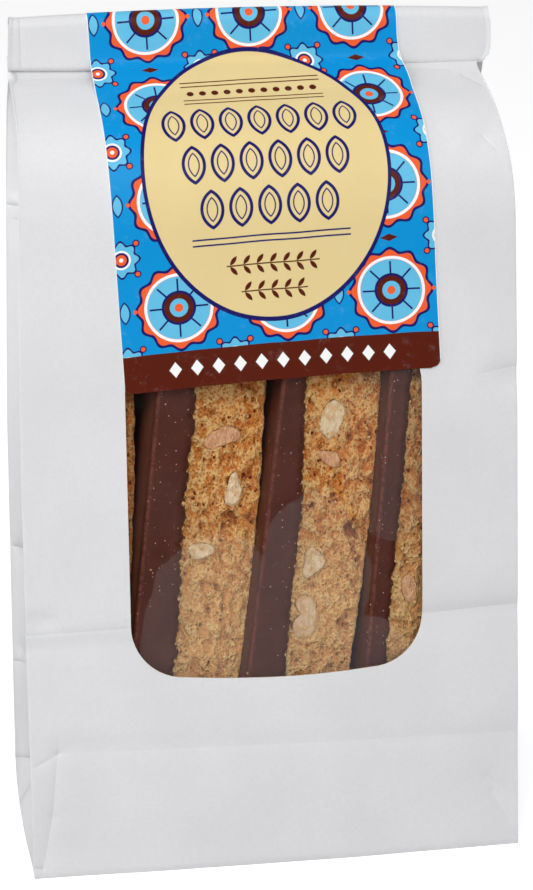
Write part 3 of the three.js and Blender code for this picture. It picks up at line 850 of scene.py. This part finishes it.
def skin_line(x):
    """The bag's skin in the plane at x, from low on the back, over the fold, to low on the front."""
    top = FOLD_TOP + float(band_rise(x))
    heights = np.arange(84, 186.1, 2.0)
    behind = [(float(back_skin(x, z)), z) for z in heights]
    before = [(float(front_skin(x, z)), z) for z in heights[::-1]]
    over = [(FOLD_BACK + 0.1, 194), (FOLD_BACK + 0.05, top - 2.2)]
    start = len(behind) + len(over)
    middle, radius = (FOLD_BACK + FOLD_FRONT) / 2, (FOLD_BACK - FOLD_FRONT) / 2
    arc = [(middle + radius * math.cos(a), top - 2.3 + radius * 0.9 * math.sin(a))
           for a in np.linspace(0.35, math.pi, 12)]
    down = [(FOLD_FRONT, top - 4), (FOLD_FRONT, 199), (FOLD_FRONT - 0.05, 195), (FOLD_FRONT - 0.15, 192.4)]
    return np.array(behind + over + arc + down + before), start


def smooth_line(line):
    """Softens a line's turns and keeps its ends."""
    for _ in range(LABEL_SOFTENING):
        line[1:-1] = (line[:-2] + 2 * line[1:-1] + line[2:]) / 4
    return line


def label_column(x):
    """The label's path at x as distances from the fold and places."""
    line, start = skin_line(x)
    fine = [line[0]]
    for a, b in zip(line[:-1], line[1:]):
        cuts = max(1, int(np.hypot(*(b - a)) / LABEL_STEP))
        fine.extend(a + (b - a) * k / cuts for k in range(1, cuts + 1))
    fine = smooth_line(np.array(fine))
    run = np.concatenate([[0], np.cumsum(np.hypot(*np.diff(fine, axis=0).T))])
    fold = run[np.argmin(np.hypot(*(fine - line[start]).T))]
    along = np.gradient(fine, axis=0)
    along /= np.hypot(*along.T)[:, None]
    out = np.stack([along[:, 1], -along[:, 0]], 1)
    return run - fold + LABEL_PULL, fine + out * LABEL_LIFT


LABEL_XS = np.linspace(-56, 56, 113)
LABEL_PATHS = [label_column(x) for x in LABEL_XS]


def on_label(x, d):
    """y and z of the label at x and at distance d from the fold."""
    place = np.clip((x - LABEL_XS[0]) / (LABEL_XS[1] - LABEL_XS[0]), 0, len(LABEL_XS) - 1.001)
    k = place.astype(int)
    share = (place - k)[:, None]
    near, far = np.empty((len(x), 2)), np.empty((len(x), 2))
    for i, distance in enumerate(d):
        for store, (run, path) in ((near, LABEL_PATHS[k[i]]), (far, LABEL_PATHS[k[i] + 1])):
            store[i] = [np.interp(distance, run, way) for way in path.T]
    return near * (1 - share) + far * share


label = cut_sheet("label_strip", 96, 300)
flat = corners(label)
print_d = -LABEL["back"] + (flat[:, 1] + 0.5) * (LABEL["front"] + LABEL["back"])
end = np.minimum(LABEL["front"] - print_d, print_d + LABEL["back"])
rest = np.maximum(0, LABEL["radius"] - end)
short = LABEL["radius"] - np.sqrt(np.maximum(0, LABEL["radius"] ** 2 - rest ** 2))
print_a = 2 * flat[:, 0] * (LABEL["width"] / 2 - short)
turn = math.radians(LABEL["turn"])
tucked = LABEL["tuck"] * step01((27 - print_d) / 14) * (print_a / LABEL["width"] + 0.5)
label_x = LABEL["middle"] + print_a * math.cos(turn) + print_d * math.sin(turn) - tucked
label_d = print_d * math.cos(turn) - print_a * math.sin(turn)
placed = on_label(label_x, label_d)
set_corners(label, np.stack([label_x, placed[:, 0], placed[:, 1]], 1) * MM)
layer = label.data.uv_layers.new(name="print")
loops = np.empty(len(label.data.loops), dtype=int)
label.data.loops.foreach_get("vertex_index", loops)
layer.data.foreach_set("uv", (np.stack([print_a[loops], print_d[loops]], 1) / 100).ravel())
for name in [other.name for other in label.data.uv_layers if other.name != "print"]:
    label.data.uv_layers.remove(label.data.uv_layers[name])
face_outwards(label, Vector((0, -0.01, 0.13)))
apply_step(label, "SOLIDIFY", thickness=LABEL_THICK * MM, offset=1)
smooth_shading(label, 50)
print("label:", triangles(label), "triangles")

# %% [markdown]
# ## Tools for materials
# A material is a small machine of nodes. The output of a node is wrapped here in a value that can be added,
# multiplied and so on, and each such step adds one Math node. So a pattern reads almost like a formula.

# %% Values that come from nodes
class Flow:
    """The output of a node, ready to be calculated with."""

    def __init__(self, socket):
        self.socket, self.tree = socket, socket.id_data

    def __add__(self, other):
        return calc("ADD", self, other)

    def __sub__(self, other):
        return calc("SUBTRACT", self, other)

    def __rsub__(self, other):
        return calc("SUBTRACT", other, self)

    def __mul__(self, other):
        return calc("MULTIPLY", self, other)

    def __truediv__(self, other):
        return calc("DIVIDE", self, other)

    def __pow__(self, other):
        return calc("POWER", self, other)

    def __abs__(self):
        return calc("ABSOLUTE", self)


def feed(socket, value):
    """Puts a number, a colour or a node's output into a socket."""
    if isinstance(value, Flow):
        value.tree.links.new(value.socket, socket)
    else:
        socket.default_value = value


def add_node(tree, kind, values=(), **settings):
    """One node with its settings. values feed its sockets, in their order or by their names."""
    node = tree.nodes.new("ShaderNode" + kind)
    for key, value in settings.items():
        setattr(node, key, value)
    for key, value in values.items() if isinstance(values, dict) else enumerate(values):
        feed(node.inputs[key], value)
    return node


def tree_of(*values):
    """The tree of the first value that comes from a node."""
    return next(value.tree for value in values if isinstance(value, Flow))


def calc(operation, *values, clamp=False):
    """One Math node."""
    return Flow(add_node(tree_of(*values), "Math", values, operation=operation, use_clamp=clamp).outputs[0])


def larger(a, b):
    return calc("MAXIMUM", a, b)


def length(u, v):
    return calc("SQRT", u * u + v * v)


# %% [markdown]
# ## Patterns and colours
# Every pattern starts from a place on the piece. Noise gives clouds and grain, cells give specks and
# bubbles, and a number stored on the piece tells where it was dipped or torn. A ramp turns any of them into
# a mask, and colours are then laid over each other through such masks.

# %% Patterns and colours
def place_of(tree, scale=(1, 1, 1)):
    """Place on the piece, in millimetres, stretched by scale."""
    at = Flow(add_node(tree, "TexCoord").outputs["Object"])
    return Flow(add_node(tree, "Mapping", {"Vector": at, "Scale": [1000 * k for k in scale]}).outputs[0])


def parts_of(vector):
    return [Flow(part) for part in add_node(vector.tree, "SeparateXYZ", [vector]).outputs]


def grain(vector, size, detail=3, roughness=0.55, distortion=0.0):
    """Noise from 0 to 1 with features about size millimetres wide."""
    values = {"Vector": vector, "Scale": 1 / size, "Detail": detail, "Roughness": roughness,
              "Distortion": distortion}
    return Flow(add_node(vector.tree, "TexNoise", values).outputs["Fac"])


def cells(vector, size):
    """Distance to the nearest of many scattered points, size millimetres apart, and its own colour."""
    node = add_node(vector.tree, "TexVoronoi", {"Vector": vector, "Scale": 1 / size})
    return Flow(node.outputs["Distance"]), Flow(node.outputs["Color"])


def stored(tree, name):
    """A number stored on the piece's corners."""
    return Flow(add_node(tree, "Attribute", attribute_name=name).outputs["Fac"])


def ramp(value, low, high, to_low=0.0, to_high=1.0):
    """Maps low..high to to_low..to_high with soft ends, and clamps."""
    values = (value, low, high, to_low, to_high)
    return Flow(add_node(value.tree, "MapRange", values, interpolation_type="SMOOTHSTEP").outputs[0])


def blend(share, low, high):
    """Mixes two colours."""
    return Flow(add_node(share.tree, "Mix", {"Factor": share, 6: low, 7: high}, data_type="RGBA").outputs[2])


def layers(base, *coats):
    """Lays colours over a base, each where its mask lets it show."""
    for mask, colour in coats:
        base = blend(mask, base, colour)
    return base


def bump(height, distance):
    """A bump normal from a height of 0 to 1; distance is its depth in millimetres."""
    return Flow(add_node(height.tree, "Bump", {"Height": height, "Distance": distance * MM}).outputs[0])


def tone(red, green, blue):
    """Screen colour, 0 to 255, to the linear colour that a shader wants."""
    linear = [((c / 255 + 0.055) / 1.055) ** 2.4 if c > 10 else c / 255 / 12.92 for c in (red, green, blue)]
    return (*linear, 1.0)


def new_material(name):
    """A material with one Principled shader; gives the material and its node tree."""
    material = bpy.data.materials.new(name)
    material.use_nodes = True
    return material, material.node_tree


def finish(material, **looks):
    """Feeds the shader's sockets by their names, with _ for a space, and gives the finished material."""
    shader = material.node_tree.nodes["Principled BSDF"]
    for title, value in looks.items():
        feed(shader.inputs[title.replace("_", " ")], value)
    return material


# %% [markdown]
# ## Effects that several materials share
# Dust lies on the film and on the chocolate, and paper fibre shows on the bag, on its cut edge and under
# the label's print. Each is made once as a node group with named sockets, and a material then sets its
# own numbers.

# %% Shared effects
def new_effect(name, numbers, outlets):
    """A shader node group with a Place and some numbers to go in, and numbers that come out."""
    group = bpy.data.node_groups.new(name, "ShaderNodeTree")
    group.interface.new_socket("Place", in_out="INPUT", socket_type="NodeSocketVector")
    for title, start in numbers.items():
        socket = group.interface.new_socket(title, in_out="INPUT", socket_type="NodeSocketFloat")
        socket.default_value = start
    for title in outlets:
        group.interface.new_socket(title, in_out="OUTPUT", socket_type="NodeSocketFloat")
    given = {socket.name: Flow(socket) for socket in group.nodes.new("NodeGroupInput").outputs}
    return group, given, group.nodes.new("NodeGroupOutput").inputs


def use_effect(group, **values):
    """Places an effect in a material and gives its outputs."""
    node = add_node(values["Place"].tree, "Group", values, node_tree=group)
    return [Flow(outlet) for outlet in node.outputs]


def dust_effect():
    """Small bright specks, one in some of the cells: Size is the cell, Spot the largest radius."""
    group, given, wanted = new_effect("dust_specks", {"Size": 2.0, "Spot": 0.1}, ["Mask"])
    size = Flow(add_node(group, "CombineXYZ", [given["Size"]] * 3).outputs[0])
    scaled = add_node(group, "VectorMath", (given["Place"], size), operation="DIVIDE")
    distance, colour = cells(Flow(scaled.outputs[0]), 1.0)
    radius = given["Spot"] * parts_of(colour)[0] ** 3.0
    feed(wanted["Mask"], ramp(distance, radius * 0.6, radius, 1, 0))
    return group


def fibre_effect():
    """Paper: Height is the fine felt of its fibres, Cloud the slow unevenness of the sheet."""
    group, given, wanted = new_effect("paper_fibre", {}, ["Height", "Cloud"])
    felt, speckle = grain(given["Place"], 0.9, 4, 0.7), grain(given["Place"], 0.35, 2, 0.5)
    feed(wanted["Height"], felt * 0.7 + speckle * 0.3)
    feed(wanted["Cloud"], grain(given["Place"], 26, 3))
    return group


DUST, FIBRE = dust_effect(), fibre_effect()

# %% [markdown]
# ## Paper
# The paper is white kraft with a faint cool tint and slow cloudy spots; its fibres give a very fine
# bump, and the folds it kept from when it lay flat are drawn sharp into the same bump. Where the window was
# cut the raw edge is a little tan.

# %% Paper materials
FRONT_CREASES = [
    # ends across and up, half width of the fold and its depth, in millimetres
    ((-54.2, 31.0), (-56.0, 15.2), 2.2, 0.34), ((-56.0, 15.2), (-58.6, 2.7), 2.2, 0.32),
    ((-59.2, 28.1), (-53.8, 31.0), 1.1, 0.22), ((-53.8, 31.0), (60.0, 29.2), 1.4, 0.08),
    ((-60.5, 60.3), (-36.0, 60.9), 1.1, 0.18), ((37.0, 60.6), (60.8, 61.6), 1.1, 0.20),
    ((52.2, 119.8), (60.2, 121.0), 1.0, 0.14), ((53.0, 18.0), (61.1, 12.0), 1.6, 0.28),
    ((54.0, 14.0), (60.8, 2.0), 1.6, 0.28), ((52.4, 176.2), (55.4, 173.2), 0.6, 0.12),
    ((36.6, 190.0), (49.0, 189.4), 0.7, 0.18), ((51.3, 188.3), (55.4, 186.4), 0.7, 0.20),
    ((-56.2, 191.5), (-56.2, 204.0), 0.35, 0.16), ((-61.2, 2.8), (-58.8, 2.4), 0.6, 0.28),
]
SIDE_CREASES = [
    # ends deep and up, half width of the fold and its depth
    ((-17.0, 75.2), (28.0, 63.5), 1.0, 0.55), ((-21.0, 47.8), (33.0, 29.5), 1.0, 0.55),
    ((-31.0, 28.4), (36.0, 0.5), 1.0, 0.65), ((-31.0, 27.8), (3.0, 0.5), 1.3, 0.90),
    ((-22.0, 157.5), (22.0, 155.5), 0.9, 0.50), ((-22.0, 153.0), (20.0, 152.0), 0.6, 0.20),
]


def creases(across, up, folds):
    """Height of sharp folded lines: each falls away from the line between its two ends."""
    total = 0.0
    for start, end, width, depth in folds:
        start, end = Vector(start), Vector(end)
        run, middle = (end - start).normalized(), (start + end) / 2
        aside = calc("MULTIPLY_ADD", up, -run.x, middle.y * run.x - middle.x * run.y)
        aside = abs(calc("MULTIPLY_ADD", across, run.y, aside))
        along = calc("MULTIPLY_ADD", up, run.y, -middle.x * run.x - middle.y * run.y)
        along = abs(calc("MULTIPLY_ADD", across, run.x, along))
        beyond = larger(along - (end - start).length / 2, 0)
        fall = calc("EXPONENT", (aside + beyond) / -width)
        total = calc("MULTIPLY_ADD", fall, depth, total)
    return total


def paper_material(name, folds, on_side):
    """White kraft paper with its folds, read across the front panel or deep into the side gusset."""
    material, tree = new_material(name)
    fibre, cloud = use_effect(FIBRE, Place=place_of(tree))
    x, y, z = parts_of(place_of(tree))
    sunk = creases(y if on_side else x, z, folds)
    if not on_side:
        sunk = sunk * ramp(y, 6, 9, 1, 0)
    base = layers(tone(219, 219, 221), (ramp(cloud, 0.3, 0.7), tone(224, 224, 226)),
                  (ramp(fibre, 0.40, 0.68, 0, 0.30), tone(209, 209, 212)))
    return finish(material, Base_Color=base, Roughness=ramp(cloud, 0.2, 0.8, 0.52, 0.66),
                  Specular_IOR_Level=0.3, Normal=bump(fibre * 0.04 - sunk, 1.0))


def cut_edge_material():
    material, tree = new_material("cut_paper_edge")
    fibre = use_effect(FIBRE, Place=place_of(tree))[0]
    return finish(material, Base_Color=blend(fibre, tone(188, 164, 134), tone(220, 206, 188)), Roughness=0.8)


# %% [markdown]
# ## Film
# The film is almost clear: its haze is its alpha, and it catches more light where it is seen at a slant.
# Haze comes in soft patches where a slice has rubbed it, and these patches are also a painted reflection of
# the lamps on the film; a few specks of dust stick to it.

# %% Film material
RUB_AND_GLARE_PATCHES = [
    # middle across and up, half sizes, milkiness of a patch where a slice rubs the film and the lamps'
    # reflection is painted
    (10.0, 70.0, 14.0, 23.5, 0.028),
    (-14.0, 52.0, 20.0, 31.0, 0.028),
    (29.0, 104.0, 13.0, 26.0, 0.020),
    (22.0, 46.0, 12.0, 15.5, 0.030),
]


def film_material():
    material, tree = new_material("clear_film")
    place = place_of(tree)
    x, _, z = parts_of(place)
    haze_and_glare = ramp(grain(place, 16, 3, 0.6), 0.40, 0.75, 0.001, 0.006)
    wander = (grain(place, 9, 2) - 0.5) * 0.35
    # each patch paints milky haze that also stands in for the lamps' reflection in the film
    for middle_x, middle_z, reach_x, reach_z, milk_and_glare in RUB_AND_GLARE_PATCHES:
        reach = length((x - middle_x) / reach_x, (z - middle_z) / reach_z)
        haze_and_glare = larger(haze_and_glare, ramp(reach + wander, 1.0, 0.96, 0, milk_and_glare))
    dust = use_effect(DUST, Place=place, Size=3.2, Spot=0.07)[0]
    shine = Flow(add_node(tree, "LayerWeight").outputs["Facing"]) ** 5.0 * 0.5
    return finish(material, Base_Color=tone(205, 203, 206), Roughness=0.12, IOR=1.45,
                  Alpha=calc("ADD", haze_and_glare + dust * 0.3, shine, clamp=True))


# %% [markdown]
# ## Crumb, chocolate, almond
# Crumb is pale gold where it was torn to a ridge, and it is painted a darker orange brown inside the holes,
# as painted shade. The shader reads the depth that was stored on the slice and adds its own finer pores,
# which it also paints darker. Chocolate is dark and half glossy, with a slightly lighter and redder ridge
# that is partly bloom and partly a painted highlight, and base sides painted lighter as painted light. An
# almond is cream inside with a brown skin.

# %% Food materials
def crumb_material():
    material, tree = new_material("baked_crumb")
    place = place_of(tree, (1, 1, 0.8))
    height, slow = parts_of(place_of(tree))[2], grain(place_of(tree), 6, 2)
    stir = Flow(add_node(tree, "TexNoise", {"Vector": place, "Scale": 0.9, "Detail": 1}).outputs["Color"])
    moved = add_node(tree, "VectorMath", (stir, (0.9, 0.9, 0.9), place), operation="MULTIPLY_ADD")
    moved = Flow(moved.outputs[0])
    foam = cells(moved, 0.72)[0] * ramp(grain(place, 2.2, 2), 0.40, 0.60, 0.25, 0.75)
    distance, chance = cells(moved, 1.3)
    pit = ramp(distance, 0.12, 0.42, 1, 0) * ramp(parts_of(chance)[0], 0.50, 0.90)
    level = grain(place, 0.34, 3, 0.6) * 0.55 + foam - pit * 0.36
    # painted shade: the crumb is painted darker where it lies deep and in the shader's pits
    shade = level - stored(tree, "depth") * 0.34 + ramp(slow, 0.35, 0.65, 0.06, 0.14)
    warm = ramp(stored(tree, "from_coat"), 0.02, 0.5, 0, 0.6) + ramp(slow, 0.4, 0.62, -0.2, 0.4)
    base = layers(
        tone(96, 38, 12),
        (ramp(shade, 0.12, 0.26), tone(176, 90, 34)),
        (ramp(shade, 0.25, 0.42), blend(warm, tone(220, 146, 72), tone(218, 130, 56))),
        (ramp(shade, 0.42, 0.64), blend(warm, tone(248, 202, 136), tone(248, 188, 114))),
        # painted light: the crumb is painted paler low down, for the glare of the film's haze in front of it
        (ramp(height, 96, 58, 0, 0.32), tone(255, 222, 166)),
        # painted shade: the larger holes and the hollows are painted a darker brown
        (stored(tree, "hole") * 0.45, tone(150, 84, 40)),
        (stored(tree, "hollow") * 0.45, tone(150, 86, 44)),
        (stored(tree, "crust") * 0.5, tone(232, 186, 126)))
    return finish(material, Base_Color=base, Roughness=0.9, Specular_IOR_Level=0.2, Normal=bump(level, 1.2))


def chocolate_material():
    material, tree = new_material("dark_chocolate")
    place = place_of(tree)
    cloud = grain(place, 7, 4, 0.6)
    scuffs = ramp(grain(place_of(tree, (1, 1, 0.12)), 0.8, 3, 0.7), 0.60, 0.72)
    broken = ramp(grain(place, 1.3, 3, 0.7), 0.38, 0.60, 0.05, 0.6)
    base = layers(
        tone(70, 30, 19),
        (ramp(cloud, 0.3, 0.7), tone(80, 36, 25)),
        (scuffs * 0.16, tone(120, 78, 62)),
        # bloom and a painted highlight along the ridge
        (stored(tree, "ridge") * broken, tone(126, 66, 50)),
        # painted light: the dipped base side is painted a lighter, redder brown than the front
        (stored(tree, "side") * 0.35, tone(82, 40, 28)),
        # painted light: a pale band painted on the second coat's base side
        (stored(tree, "rubbed") * 0.9, tone(154, 96, 76)),
        (use_effect(DUST, Place=place, Size=0.8, Spot=0.23)[0] * 0.8, tone(222, 198, 178)),
        (use_effect(DUST, Place=place, Size=2.3, Spot=0.16)[0] * 0.7, tone(206, 168, 132)))
    return finish(material, Base_Color=base, Roughness=ramp(cloud, 0.25, 0.75, 0.36, 0.50),
                  Specular_IOR_Level=0.22, Normal=bump(cloud, 0.10))


def almond_material():
    material, tree = new_material("cut_almond")
    place = place_of(tree)
    fine, cloud = grain(place, 0.45, 4, 0.7), grain(place, 2.0, 2)
    streak = grain(place_of(tree, (1.6, 1, 0.5)), 0.8, 3, 0.6, 0.6)
    base = layers(
        tone(250, 224, 184),
        (ramp(cloud, 0.38, 0.62), tone(234, 194, 144)),
        (ramp(streak, 0.50, 0.72, 0, 0.35), tone(214, 168, 118)),
        (stored(tree, "pink"), blend(ramp(streak, 0.40, 0.62), tone(210, 140, 98), tone(240, 184, 138))),
        (ramp(fine, 0.58, 0.72, 0, 0.35), tone(200, 146, 94)),
        (stored(tree, "skin") * 0.5, tone(158, 98, 64)))
    return finish(material, Base_Color=base, Roughness=0.6, Specular_IOR_Level=0.3,
                  Normal=bump(fine + streak, 0.50))


# %% [markdown]
# ## The label's print
# The print is drawn with distances. For each shape a formula says how far a place is from the shape's
# edge, in millimetres: below zero is inside. A mask from that distance lays the shape's colour over what
# is already there. The pattern repeats because the place is wrapped into one tile first.

# %% Shapes as distances
BLUE, NAVY, LIGHT_BLUE = tone(0, 145, 214), tone(22, 18, 100), tone(100, 190, 228)
CREAM, BROWN, ORANGE, WHITE = tone(228, 206, 148), tone(88, 24, 4), tone(242, 96, 48), tone(248, 248, 248)
PRINT_EDGE = 0.16


def print_on(under, *shapes):
    """Lays the colour of each shape over what is there. A shape is the distance to its edge."""
    half = PRINT_EDGE / 2
    return layers(under, *((ramp(distance, -half, half, 1, 0), colour) for distance, colour in shapes))


def wrap(value, centre, period):
    """Moves a coordinate into the tile round centre."""
    return calc("WRAP", value - centre, period / 2, -period / 2)


def lozenge(u, v, half_u, half_v):
    """Distance to a lozenge round the tile's middle."""
    return (abs(u) / half_u + abs(v) / half_v - 1) * (half_u * half_v / math.hypot(half_u, half_v))


def pointed_oval(u, v, half_u, half_v):
    """Distance to an almond shape: where two round arcs meet in points at the top and the bottom."""
    radius = (half_u + half_v ** 2 / half_u) / 2
    shift = radius - half_u
    return larger(length(u + shift, v), length(u - shift, v)) - radius


def scallops(r, angle, count, deep, radius):
    """Distance to a round shape with a wavy edge."""
    return r - (calc("COSINE", angle * count) * deep + radius)


# %% [markdown]
# ## The motifs
# Round tile flowers stand in rows, with small suns between them and buds and lozenges in the gaps. The oval
# panel carries rows of outlined almonds, double lines, beads and two sprigs.

# %% Motifs
TILE_U, TILE_V = 25.7, 25.5
TILE_AT_U, TILE_AT_V = 1.5, 6.0
ALMOND_PITCH, ALMOND_HALF_U, ALMOND_HALF_V = 6.9, 2.5, 4.3
SPRIG_PITCH, LEAF_LEAN = 3.2, math.radians(38)


def rosette(under, u, v):
    """A round tile flower: scalloped orange ring, white line, pale disc with spokes, dark heart."""
    r, angle = length(u, v), calc("ARCTAN2", v, u)
    edge = scallops(r, angle, 12, 0.5, 9.3)
    spoke = abs(calc("SINE", angle * 4)) * (r * 0.25) - 0.22
    return print_on(under, (edge - 0.7, NAVY), (edge, ORANGE), (abs(r - 7.9) - 0.35, WHITE),
                    (r - 7.5, LIGHT_BLUE), (larger(spoke, r - 7.0), NAVY), (r - 4.1, NAVY), (r - 3.5, BROWN),
                    (r - 2.2, LIGHT_BLUE), (r - 1.0, ORANGE))


def small_sun(under, u, v):
    """A small sun: scalloped pale disc, white ring, orange heart, and four dots outside it."""
    r, angle = length(u, v), calc("ARCTAN2", v, u)
    edge = scallops(r, angle, 8, 0.45, 3.7)
    dot = length(abs(u) - 3.7, abs(v) - 3.7)
    return print_on(under, (edge - 0.5, NAVY), (edge, LIGHT_BLUE), (r - 2.3, WHITE), (r - 1.8, NAVY),
                    (r - 1.3, ORANGE), (r - 0.5, WHITE), (dot - 0.85, NAVY), (dot - 0.55, ORANGE))


def bud(under, u, v):
    """A pointed pale bud with a dot on each side."""
    shape, dot = pointed_oval(u, v, 1.0, 2.3), length(abs(u) - 2.5, v)
    return print_on(under, (shape - 0.35, NAVY), (shape, LIGHT_BLUE), (dot - 0.5, ORANGE))


def row_of_almonds(under, u, v, level, count):
    """A centred row of outlined almond shapes with a line inside each."""
    in_tile = wrap(u, 0 if count % 2 else ALMOND_PITCH / 2, ALMOND_PITCH)
    shape = pointed_oval(in_tile, v - level, ALMOND_HALF_U, ALMOND_HALF_V)
    ends = abs(u) - count * ALMOND_PITCH / 2
    outline, inner = abs(shape) - 0.38, abs(shape + 1.25) - 0.16
    return print_on(under, (larger(outline, ends), NAVY), (larger(inner, ends), NAVY))


def rules(under, u, v, levels, half, thick, colour):
    """Level lines across the panel."""
    return print_on(under, *((larger(abs(u) - half, abs(v - level) - thick / 2), colour) for level in levels))


def sprig(under, u, v, level, half):
    """A level sprig: a thin stem with a pair of slanting leaves every few millimetres."""
    across, up = wrap(u, 0, SPRIG_PITCH) + 0.9, abs(v - level)
    leaf_u = across * math.cos(LEAF_LEAN) - up * math.sin(LEAF_LEAN)
    leaf_v = across * math.sin(LEAF_LEAN) + up * math.cos(LEAF_LEAN)
    drawn = calc("MINIMUM", pointed_oval(leaf_u, leaf_v - 1.55, 0.52, 1.35), up - 0.16)
    return print_on(under, (larger(drawn, abs(u) - half), BROWN))


# %% [markdown]
# ## The printed sheet
# The motifs are laid on the blue ground from the back to the front: the tiled pattern, the cream panel with
# its drawing, the brown band at the foot and the white cut edge. The paper shines a little.

# %% Label material
def label_material():
    material, tree = new_material("printed_label")
    uv = Flow(add_node(tree, "UVMap", uv_map="print").outputs[0])
    scaled = add_node(tree, "VectorMath", {0: uv, "Scale": 100}, operation="SCALE")
    u, v, _ = parts_of(Flow(scaled.outputs[0]))
    tile_u, tile_v = wrap(u, TILE_AT_U, TILE_U), wrap(v, TILE_AT_V, TILE_V)
    half_u, half_v = wrap(u, TILE_AT_U + TILE_U / 2, TILE_U), wrap(v, TILE_AT_V + TILE_V / 2, TILE_V)
    base = rosette(BLUE, tile_u, tile_v)
    base = bud(small_sun(base, half_u, half_v), half_u, tile_v)
    across = u + 1.0
    panel = (length(across / 29.0, (v - 51.1) / 35.7) - 1) * 32.35
    base = print_on(base, (lozenge(tile_u, half_v, 2.2, 0.9), BROWN), (panel - 1.0, NAVY), (panel, CREAM))
    base = rules(base, across, v, (24.0, 25.3, 30.4, 31.7), 17, 0.35, BROWN)
    beads = length(wrap(across, 0, 3), v - 27.85) - 0.85
    base = print_on(base, (larger(beads, abs(across) - 16.5), BROWN))
    for level, count in ((38.4, 7), (49.2, 6), (60.0, 5)):
        base = row_of_almonds(base, across, v, level, count)
    base = rules(base, across, v, (67.0, 68.4), 19, 0.4, NAVY)
    for level, half in ((73.8, 11.2), (80.2, 8.0)):
        base = sprig(base, across, v, level, half)
    row = lozenge(wrap(u, 0, 5.2), v - 97.3, 1.5, 1.9)
    base = print_on(base, (93.05 - v, BROWN), (larger(row, abs(u) - 28.6), WHITE),
                    (LABEL["width"] / 2 - 0.16 - abs(u), WHITE))
    wear = grain(place_of(tree), 3.0, 4, 0.7)
    base = blend(ramp(wear, 0.55, 0.75, 0, 0.04), base, tone(255, 255, 255))
    fibre = use_effect(FIBRE, Place=place_of(tree))[0]
    return finish(material, Base_Color=base, Roughness=ramp(wear, 0.3, 0.7, 0.34, 0.42),
                  Specular_IOR_Level=0.12, Normal=bump(fibre, 0.02))


# %% [markdown]
# ## Hand over
# Each finished piece gets its material, says which solid it stands for, and is tied to the part. Round the
# window the paper's edge faces take the tan of cut paper, and the gussets take the paper with their own
# folds.

# %% Dress the pieces
CUT_REACH = 1.3


def near_window_edge(centre):
    """True close to the window's outline."""
    off = np.abs(np.array([centre.x, centre.z]) / MM - WINDOW_AT) - WINDOW_SIZE / 2 + WINDOW["radius"]
    distance = math.hypot(*np.maximum(off, 0)) + min(off.max(), 0) - WINDOW["radius"]
    return abs(distance) < CUT_REACH


paper = paper_material("white_kraft_paper", FRONT_CREASES, False)
paper_bag.data.materials.clear()
for look in (paper, cut_edge_material(), paper_material("gusset_paper", SIDE_CREASES, True)):
    paper_bag.data.materials.append(look)
for face in paper_bag.data.polygons:
    cut = face.center.y < -0.02 and abs(face.normal.y) < 0.6 and near_window_edge(face.center)
    face.material_index = 1 if cut else 2 if abs(face.normal.x) > 0.6 else 0
hand_over(paper_bag, paper, "bag_paper", "bag")
hand_over(film, film_material(), "clear_film", "window_film")
hand_over(label, label_material(), "label_print", "label")
crumb_look, chocolate_look, almond_look = crumb_material(), chocolate_material(), almond_material()
for number, piece in enumerate(crumb_slices, 1):
    hand_over(piece, crumb_look, "crumb", "biscotto_%d" % number)
loose_crumbs.data.materials.append(crumb_look)
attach(loose_crumbs, "root")
for number, piece in enumerate(coats, 1):
    hand_over(piece, chocolate_look, "chocolate", "chocolate_%d" % number)
for name, piece in zip(NUT_NAMES, almonds):
    hand_over(piece, almond_look, "almond", name)

# %% [markdown]
# ## The studio
# The bag stands on a wide white floor that fills the picture. The light is soft from all sides with a
# broad lamp high on the left in front, so the shadow is faint and falls to the right.

# %% Floor, light and camera
clear_selection()
bpy.ops.mesh.primitive_plane_add(size=9, location=(0, 2, 0))
floor = name_piece("studio_floor")
bpy.ops.object.transform_apply(location=True)
floor_look, tree = new_material("white_floor")
seen = Flow(add_node(tree, "LightPath").outputs["Is Camera Ray"])
floor.data.materials.append(finish(
    floor_look, Base_Color=blend(seen, (0.45, 0.45, 0.45, 1), (0.95, 0.95, 0.95, 1)), Roughness=0.9,
    Specular_IOR_Level=0.0, Emission_Color=(1, 1, 1, 1), Emission_Strength=seen * 0.42))

world = bpy.data.worlds.new("soft_white_room")
bpy.context.scene.world = world
world.use_nodes = True
room = world.node_tree.nodes["Background"]
height = parts_of(Flow(add_node(world.node_tree, "TexCoord").outputs["Generated"]))[2]
feed(room.inputs["Color"], (1, 1, 1, 1))
feed(room.inputs["Strength"], ramp(height, 0.0, 0.9, 0.74, 0.42))


def soft_lamp(name, at, target, size, watts):
    """A square soft lamp."""
    bpy.ops.object.light_add(type="AREA", location=at)
    light = bpy.context.object
    light.name = name
    light.data.shape, light.data.size, light.data.energy = "SQUARE", size, watts
    light.rotation_euler = (Vector(target) - Vector(at)).to_track_quat("-Z", "Y").to_euler()


soft_lamp("front_lamp", (0.05, -1.55, 0.85), (0, 0, 0.12), 0.9, 5.8)
soft_lamp("left_lamp", (-1.3, -0.30, 0.6), (0, 0, 0.10), 1.2, 10.2)
soft_lamp("key_lamp", (-0.20, -0.80, 0.76), (0, 0, 0.14), 0.25, 2.5)

CAMERA_AT = (-0.093149, -0.610545, 0.279)
CAMERA_TURN, CAMERA_PITCH = 8.91, 16.46
bpy.ops.object.camera_add(location=CAMERA_AT)
camera = bpy.context.object
camera.name = "photo_camera"
camera.rotation_euler = (math.radians(90 - CAMERA_PITCH), 0, math.radians(-CAMERA_TURN))
camera.data.lens, camera.data.sensor_width = 103.51, 36
camera.data.clip_start = 0.01
bpy.context.scene.camera = camera
bpy.context.scene.view_settings.view_transform = "Standard"
